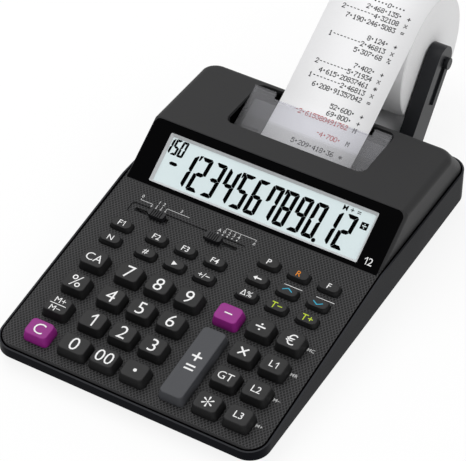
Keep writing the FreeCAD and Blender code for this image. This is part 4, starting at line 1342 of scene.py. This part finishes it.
def print_strip():
    """Prints the lines, with amounts below nought in red and all signs in black."""
    black, red = [], []
    for row, (figures, sign) in enumerate(PRINTED_LINES):
        base = lengths[-1] - PRINT_END - row * LINE_PITCH
        ink = red if figures.startswith("-") else black
        ink += [on_strip(dot, base) for dot in dot_words(figures, FIGURES_RIGHT)]
        black += [on_strip(dot, base) for dot in dot_words(sign, SIGN_RIGHT)]
    fit(make_object("strip_print", join_shapes(black), PRINT_INK), "case")
    fit(make_object("strip_print_red", join_shapes(red), RED_INK), "case")


print_strip()

# The roll: wound paper with softly rounded rims, and a step between the paper and its cardboard core.
CORE_BORE = 6.0 * MM
CORE_WALL = 2.2 * MM
CORE_STEP = 0.3 * MM
CORE_JOINT = 0.8 * MM
ROLL_RIM = 0.5 * MM
ROLL_FACETS = 128


def wound_roll():
    """The roll's outline, from its core to its rim, turned round the axle."""
    core = CORE_BORE + CORE_WALL
    edge = [(0.0, CORE_BORE), (0.0, core), (CORE_STEP, core + CORE_STEP), (0.0, core + CORE_JOINT),
            (0.0, ROLL_RADIUS - ROLL_RIM), (ROLL_RIM, ROLL_RADIUS)]
    profile = [(roll_low.x + inset, r) for inset, r in edge]
    profile += [(roll_high.x - inset, r) for inset, r in reversed(edge)]
    rings = []
    for i in range(ROLL_FACETS):
        c, d = heading(2 * math.pi * i / ROLL_FACETS)
        rings.append([Vector((x, AXLE.y + r * c, AXLE.z + r * d)) for x, r in profile])
    return skin(rings, looped=True)


fit(make_object("wound_roll", wound_roll(), ROLL_PAPER), "paper_roll", "paper_roll")


# Repeats: one unit set on many places.
def repeat_tree():
    """Sets one unit on every point of a mesh, at a size and with a finish."""
    tree = bpy.data.node_groups.new("repeat_on_points", "GeometryNodeTree")
    inputs = {"Geometry": "NodeSocketGeometry", "Unit": "NodeSocketObject", "Size": "NodeSocketFloat",
              "Finish": "NodeSocketMaterial"}
    for label, kind in inputs.items():
        tree.interface.new_socket(label, in_out="INPUT", socket_type=kind)
    tree.interface.new_socket("Geometry", in_out="OUTPUT", socket_type="NodeSocketGeometry")
    start = tree.nodes.new("NodeGroupInput")
    stop = tree.nodes.new("NodeGroupOutput")
    unit = tree.nodes.new("GeometryNodeObjectInfo")
    spread = tree.nodes.new("GeometryNodeInstanceOnPoints")
    real = tree.nodes.new("GeometryNodeRealizeInstances")
    finish = tree.nodes.new("GeometryNodeSetMaterial")
    tree.links.new(start.outputs["Geometry"], spread.inputs["Points"])
    tree.links.new(start.outputs["Unit"], unit.inputs["Object"])
    tree.links.new(unit.outputs["Geometry"], spread.inputs["Instance"])
    tree.links.new(start.outputs["Size"], spread.inputs["Scale"])
    tree.links.new(spread.outputs["Instances"], real.inputs["Geometry"])
    tree.links.new(real.outputs["Geometry"], finish.inputs["Geometry"])
    tree.links.new(start.outputs["Finish"], finish.inputs["Material"])
    tree.links.new(finish.outputs["Geometry"], stop.inputs["Geometry"])
    return tree


REPEAT = repeat_tree()


def repeated(name, unit, places, size, material):
    """A plain mesh of one unit set on many places."""
    carrier = make_object(name + "_points", (places, []), material)
    modifier = carrier.modifiers.new(name, "NODES")
    modifier.node_group = REPEAT
    values = {"Unit": unit, "Size": size, "Finish": material}
    for item in REPEAT.interface.items_tree:
        if item.in_out == "INPUT" and item.name in values:
            modifier[item.identifier] = values[item.name]
    graph = bpy.context.evaluated_depsgraph_get()
    mesh = bpy.data.meshes.new_from_object(carrier.evaluated_get(graph))
    mesh.name = name
    carrier.modifiers.remove(modifier)
    bpy.data.objects.remove(carrier)
    bpy.data.objects.remove(unit)
    piece = bpy.data.objects.new(name, mesh)
    scene.collection.objects.link(piece)
    return piece


# Case screws. The unit's sizes are shares of the head's radius.
SCREW_RADIUS = 2.6 * MM
SCREW_INSET = Vector((17.0, 44.0, 0.0)) * MM
SCREW_STEPS = 32
HEAD_ROOT = 0.1
HEAD_RIM = -0.35
HEAD_TOP = -0.5
HEAD_TOP_RADIUS = 0.86
CROSS_HALF_WIDTH = 0.14
CROSS_ARM = 0.62
CROSS_DEPTH = 0.3
CROSS_DRAFT = 0.8


def cross_reach(x, y):
    """How far the cross slot reaches in a direction."""
    narrow = min(abs(x), abs(y))
    return CROSS_HALF_WIDTH / narrow if CROSS_ARM * narrow > CROSS_HALF_WIDTH else CROSS_ARM


def screw_unit():
    """A round screw head of radius one, facing down, with a cross slot."""
    turns = [heading(2 * math.pi * i / SCREW_STEPS) for i in range(SCREW_STEPS)]
    cross = [turn * cross_reach(*turn) for turn in turns]
    levels = [(turns, 1.0, HEAD_ROOT), (turns, 1.0, HEAD_RIM), (turns, HEAD_TOP_RADIUS, HEAD_TOP),
              (cross, 1.0, HEAD_TOP), (cross, CROSS_DRAFT, HEAD_TOP + CROSS_DEPTH)]
    rings = [[Vector((share * p.x, share * p.y, z)) for p in outline] for outline, share, z in levels]
    return make_object("screw_unit", turned_over(skin(rings)), STEEL, smooth=True)


screw_low, screw_high = case_low + SCREW_INSET, case_high - SCREW_INSET
screw_places = [Vector((x, y, case_low.z)) for x in (screw_low.x, screw_high.x)
                for y in (screw_low.y, screw_high.y)]
fit(repeated("case_screws", screw_unit(), screw_places, SCREW_RADIUS, STEEL), "case")

# Battery door: a plate with a tongue on each side and finger grooves, short of the end of its track.
DOOR_PLAY = 0.3 * MM
DOOR_TONGUE = 1.2 * MM
TONGUE_THICKNESS = 0.8 * MM
DOOR_BEVEL = 0.25 * MM
GROOVE_COUNT = 5
GROOVE_PITCH = 3.0 * MM
GROOVE_WIDTH = 1.2 * MM
GROOVE_LENGTH = 22.0 * MM
GROOVE_DEPTH = 0.6 * MM
GROOVE_FROM_EDGE = 8.0 * MM
GROOVE_DRAFT = 0.15 * MM


def door_section(y, bevel, groove):
    """One cut across the door, with the depth of a finger groove in the middle of its lower face."""
    low, high = door_low, door_high
    middle = (low.x + high.x) / 2
    tongue = high.z - TONGUE_THICKNESS
    side = high.x - DOOR_TONGUE
    grip = middle + GROOVE_LENGTH / 2
    half = [(high.x, high.z - bevel), (high.x, tongue), (side, tongue), (side, low.z + DOOR_BEVEL),
            (side - DOOR_BEVEL, low.z + bevel), (grip, low.z + bevel),
            (grip - GROOVE_DRAFT, low.z + bevel + groove)]
    other = [(2 * middle - x, z) for x, z in reversed(half)]
    return [Vector((x, y, z)) for x, z in half + other]


def door_panel():
    """The door as cuts from front to rear: y, bevel and groove depth of each."""
    front, rear = door_low.y + DOOR_PLAY, door_high.y
    cuts = [(front, DOOR_BEVEL / 2, 0.0), (front + DOOR_BEVEL, 0.0, 0.0)]
    for i in range(GROOVE_COUNT):
        start = door_low.y + GROOVE_FROM_EDGE + GROOVE_PITCH * i
        stop = start + GROOVE_WIDTH
        cuts += [(start - GROOVE_DRAFT, 0.0, 0.0), (start + GROOVE_DRAFT, 0.0, GROOVE_DEPTH),
                 (stop - GROOVE_DRAFT, 0.0, GROOVE_DEPTH), (stop + GROOVE_DRAFT, 0.0, 0.0)]
    cuts += [(rear - DOOR_BEVEL, 0.0, 0.0), (rear, DOOR_BEVEL / 2, 0.0)]
    return skin([door_section(*cut) for cut in cuts])


fit(make_object("battery_door_panel", door_panel(), DARK_CASE), "battery_door", "battery_door")

# Battery bay: a box over the opening that the door covers, open towards the door.
BAY_INSET = 3.6 * MM
BAY_WALL = 1.0 * MM
BAY_LIFT = 1.7 * MM
BAY_HEIGHT = 10.5 * MM
BAY_RADIUS = 2.0 * MM


def battery_bay():
    """The box from its inner ceiling down to its foot, and up outside to its top."""
    middle = (door_low + door_high) / 2
    width = door_high.x - door_low.x - 2 * (DOOR_TONGUE + BAY_INSET)
    length = door_high.y - door_low.y - 2 * BAY_INSET
    foot = door_high.z + BAY_LIFT
    top = foot + BAY_HEIGHT
    levels = [(BAY_WALL, top - BAY_WALL), (BAY_WALL, foot), (0.0, foot), (0.0, top)]
    rings = [level_ring(width - 2 * inset, length - 2 * inset, BAY_RADIUS, z) for inset, z in levels]
    return moved(skin(rings), middle.x, middle.y)


fit(make_object("battery_bay", battery_bay(), HOLDER), "case")

# Tear edge: teeth along the cover's rear edge. The unit's sizes are shares of a tooth's width.
TOOTH_PITCH = 1.3 * MM
TOOTH_HALF = 0.35
TOOTH_ROOT = 0.2
TOOTH_TIP = 0.8
TEAR_NOTCH = 4.0 * MM
TEAR_MARGIN = 2.4 * MM
COVER_HALF_THICKNESS = 0.75 * MM


def tooth_unit():
    """A tooth one unit wide that points up the slope of the cover."""
    corners = ((-0.5, -TOOTH_HALF), (0.5, -TOOTH_HALF), (0.5, TOOTH_HALF), (-0.5, TOOTH_HALF))
    verts = [cover.point(x, s, n) for s in (-TOOTH_ROOT, 0.0) for x, n in corners]
    verts.append(cover.point(0.0, TOOTH_TIP, 0.0))
    faces = [(3, 2, 1, 0), (0, 1, 5, 4), (1, 2, 6, 5), (2, 3, 7, 6), (3, 0, 4, 7),
             (4, 5, 8), (5, 6, 8), (6, 7, 8), (7, 4, 8)]
    return make_object("tooth_unit", (verts, faces), SMOKE)


def tooth_places():
    """Places of the teeth, in the notch of the cover over the paper."""
    y = cover_high.y - TEAR_NOTCH
    z = cover_high.z - COVER_HALF_THICKNESS / math.cos(COVER_SLOPE) - TEAR_NOTCH * math.tan(COVER_SLOPE)
    first = paper_low.x - TEAR_MARGIN + TOOTH_PITCH / 2
    count = int((paper_high.x - paper_low.x + 2 * TEAR_MARGIN) / TOOTH_PITCH)
    return [Vector((first + i * TOOTH_PITCH, y, z)) for i in range(count)]


teeth = repeated("tear_teeth", tooth_unit(), tooth_places(), TOOTH_PITCH, SMOKE)
fit(teeth, "printer_cover")

# Floor, light and camera. Light places and sizes are in metres, powers in watts.
FLOOR_LEVEL = -0.3 * MM
FLOOR_SIZE = 6.0
FLOOR_ROUGHNESS = 0.9
FLOOR_TONES = ((0.955, 0.955, 0.955), (0.965, 0.965, 0.965))
FLOOR_CLOUD = 3.0
FLOOR_WHITE = 0.86
WORLD_FILL = 0.6
WHITE = (1.0, 1.0, 1.0)
LIGHT_TARGET = Vector((0, 0, 0.03))
KEY_LIGHT_PLACE = Vector((-0.45, 0.15, 1.1))
KEY_LIGHT_SIZE = (0.9, 0.9)
KEY_LIGHT_POWER = 6.8
SIDE_LIGHT_PLACE = Vector((1.0, -0.5, 0.7))
SIDE_LIGHT_SIZE = (0.5, 1.0)
SIDE_LIGHT_POWER = 3.2


def seen_directly(tree):
    """1 for what the camera sees, straight on, in a reflection or through clear plastic, and 0 for light."""
    path = tree.nodes.new("ShaderNodeLightPath")
    seen = math_node(tree, "MAXIMUM", path.outputs["Is Camera Ray"], path.outputs["Is Glossy Ray"])
    return math_node(tree, "MAXIMUM", seen, path.outputs["Is Transmission Ray"])


def make_stage():
    """A pale floor that the camera sees as white and that still takes a soft shadow."""
    material, tree, shader = new_material("pale_floor", FLOOR_TONES[0], FLOOR_ROUGHNESS, 0.0)
    feed(tree, shader.inputs["Base Color"], blend(tree, cloud(tree, FLOOR_CLOUD), *FLOOR_TONES))
    white = tree.nodes.new("ShaderNodeEmission")
    share = math_node(tree, "MULTIPLY", seen_directly(tree), FLOOR_WHITE)
    mix_shaders(tree, share, shader, white, tree.nodes["Material Output"])
    verts, faces = bar_shape(FLOOR_SIZE, FLOOR_SIZE)
    lowered = [v + Vector((0, 0, FLOOR_LEVEL)) for v in verts]
    make_object("floor", (lowered, faces), material)


def background(tree, strength):
    node = tree.nodes.new("ShaderNodeBackground")
    feed(tree, node.inputs["Color"], WHITE)
    feed(tree, node.inputs["Strength"], strength)
    return node


def make_world():
    """White to the camera and in reflections, and a soft fill for everything else."""
    world = bpy.data.worlds.new("studio")
    scene.world = world
    world.use_nodes = True
    tree = world.node_tree
    tree.nodes.clear()
    output = tree.nodes.new("ShaderNodeOutputWorld")
    mix_shaders(tree, seen_directly(tree), background(tree, WORLD_FILL), background(tree, 1.0), output)


def area_light(name, place, size, power):
    light = bpy.data.lights.new(name, "AREA")
    light.shape = "RECTANGLE"
    light.size, light.size_y = size
    light.energy = power
    obj = bpy.data.objects.new(name, light)
    obj.location = place
    obj.rotation_euler = (LIGHT_TARGET - place).to_track_quat("-Z", "Y").to_euler()
    scene.collection.objects.link(obj)


def make_camera():
    data = bpy.data.cameras.new("photo_view")
    data.sensor_width = SENSOR_WIDTH
    data.lens = FOCAL_PIXELS / IMAGE_WIDTH * SENSOR_WIDTH
    camera = bpy.data.objects.new("photo_view", data)
    level = math.cos(VIEW_ELEVATION)
    back = Vector((math.sin(VIEW_AZIMUTH) * level, -math.cos(VIEW_AZIMUTH) * level, math.sin(VIEW_ELEVATION)))
    camera.location = VIEW_TARGET + back * VIEW_DISTANCE
    camera.rotation_euler = back.to_track_quat("Z", "Y").to_euler()
    scene.collection.objects.link(camera)
    scene.camera = camera


make_stage()
make_world()
area_light("key_light", KEY_LIGHT_PLACE, KEY_LIGHT_SIZE, KEY_LIGHT_POWER)
area_light("side_light", SIDE_LIGHT_PLACE, SIDE_LIGHT_SIZE, SIDE_LIGHT_POWER)
make_camera()
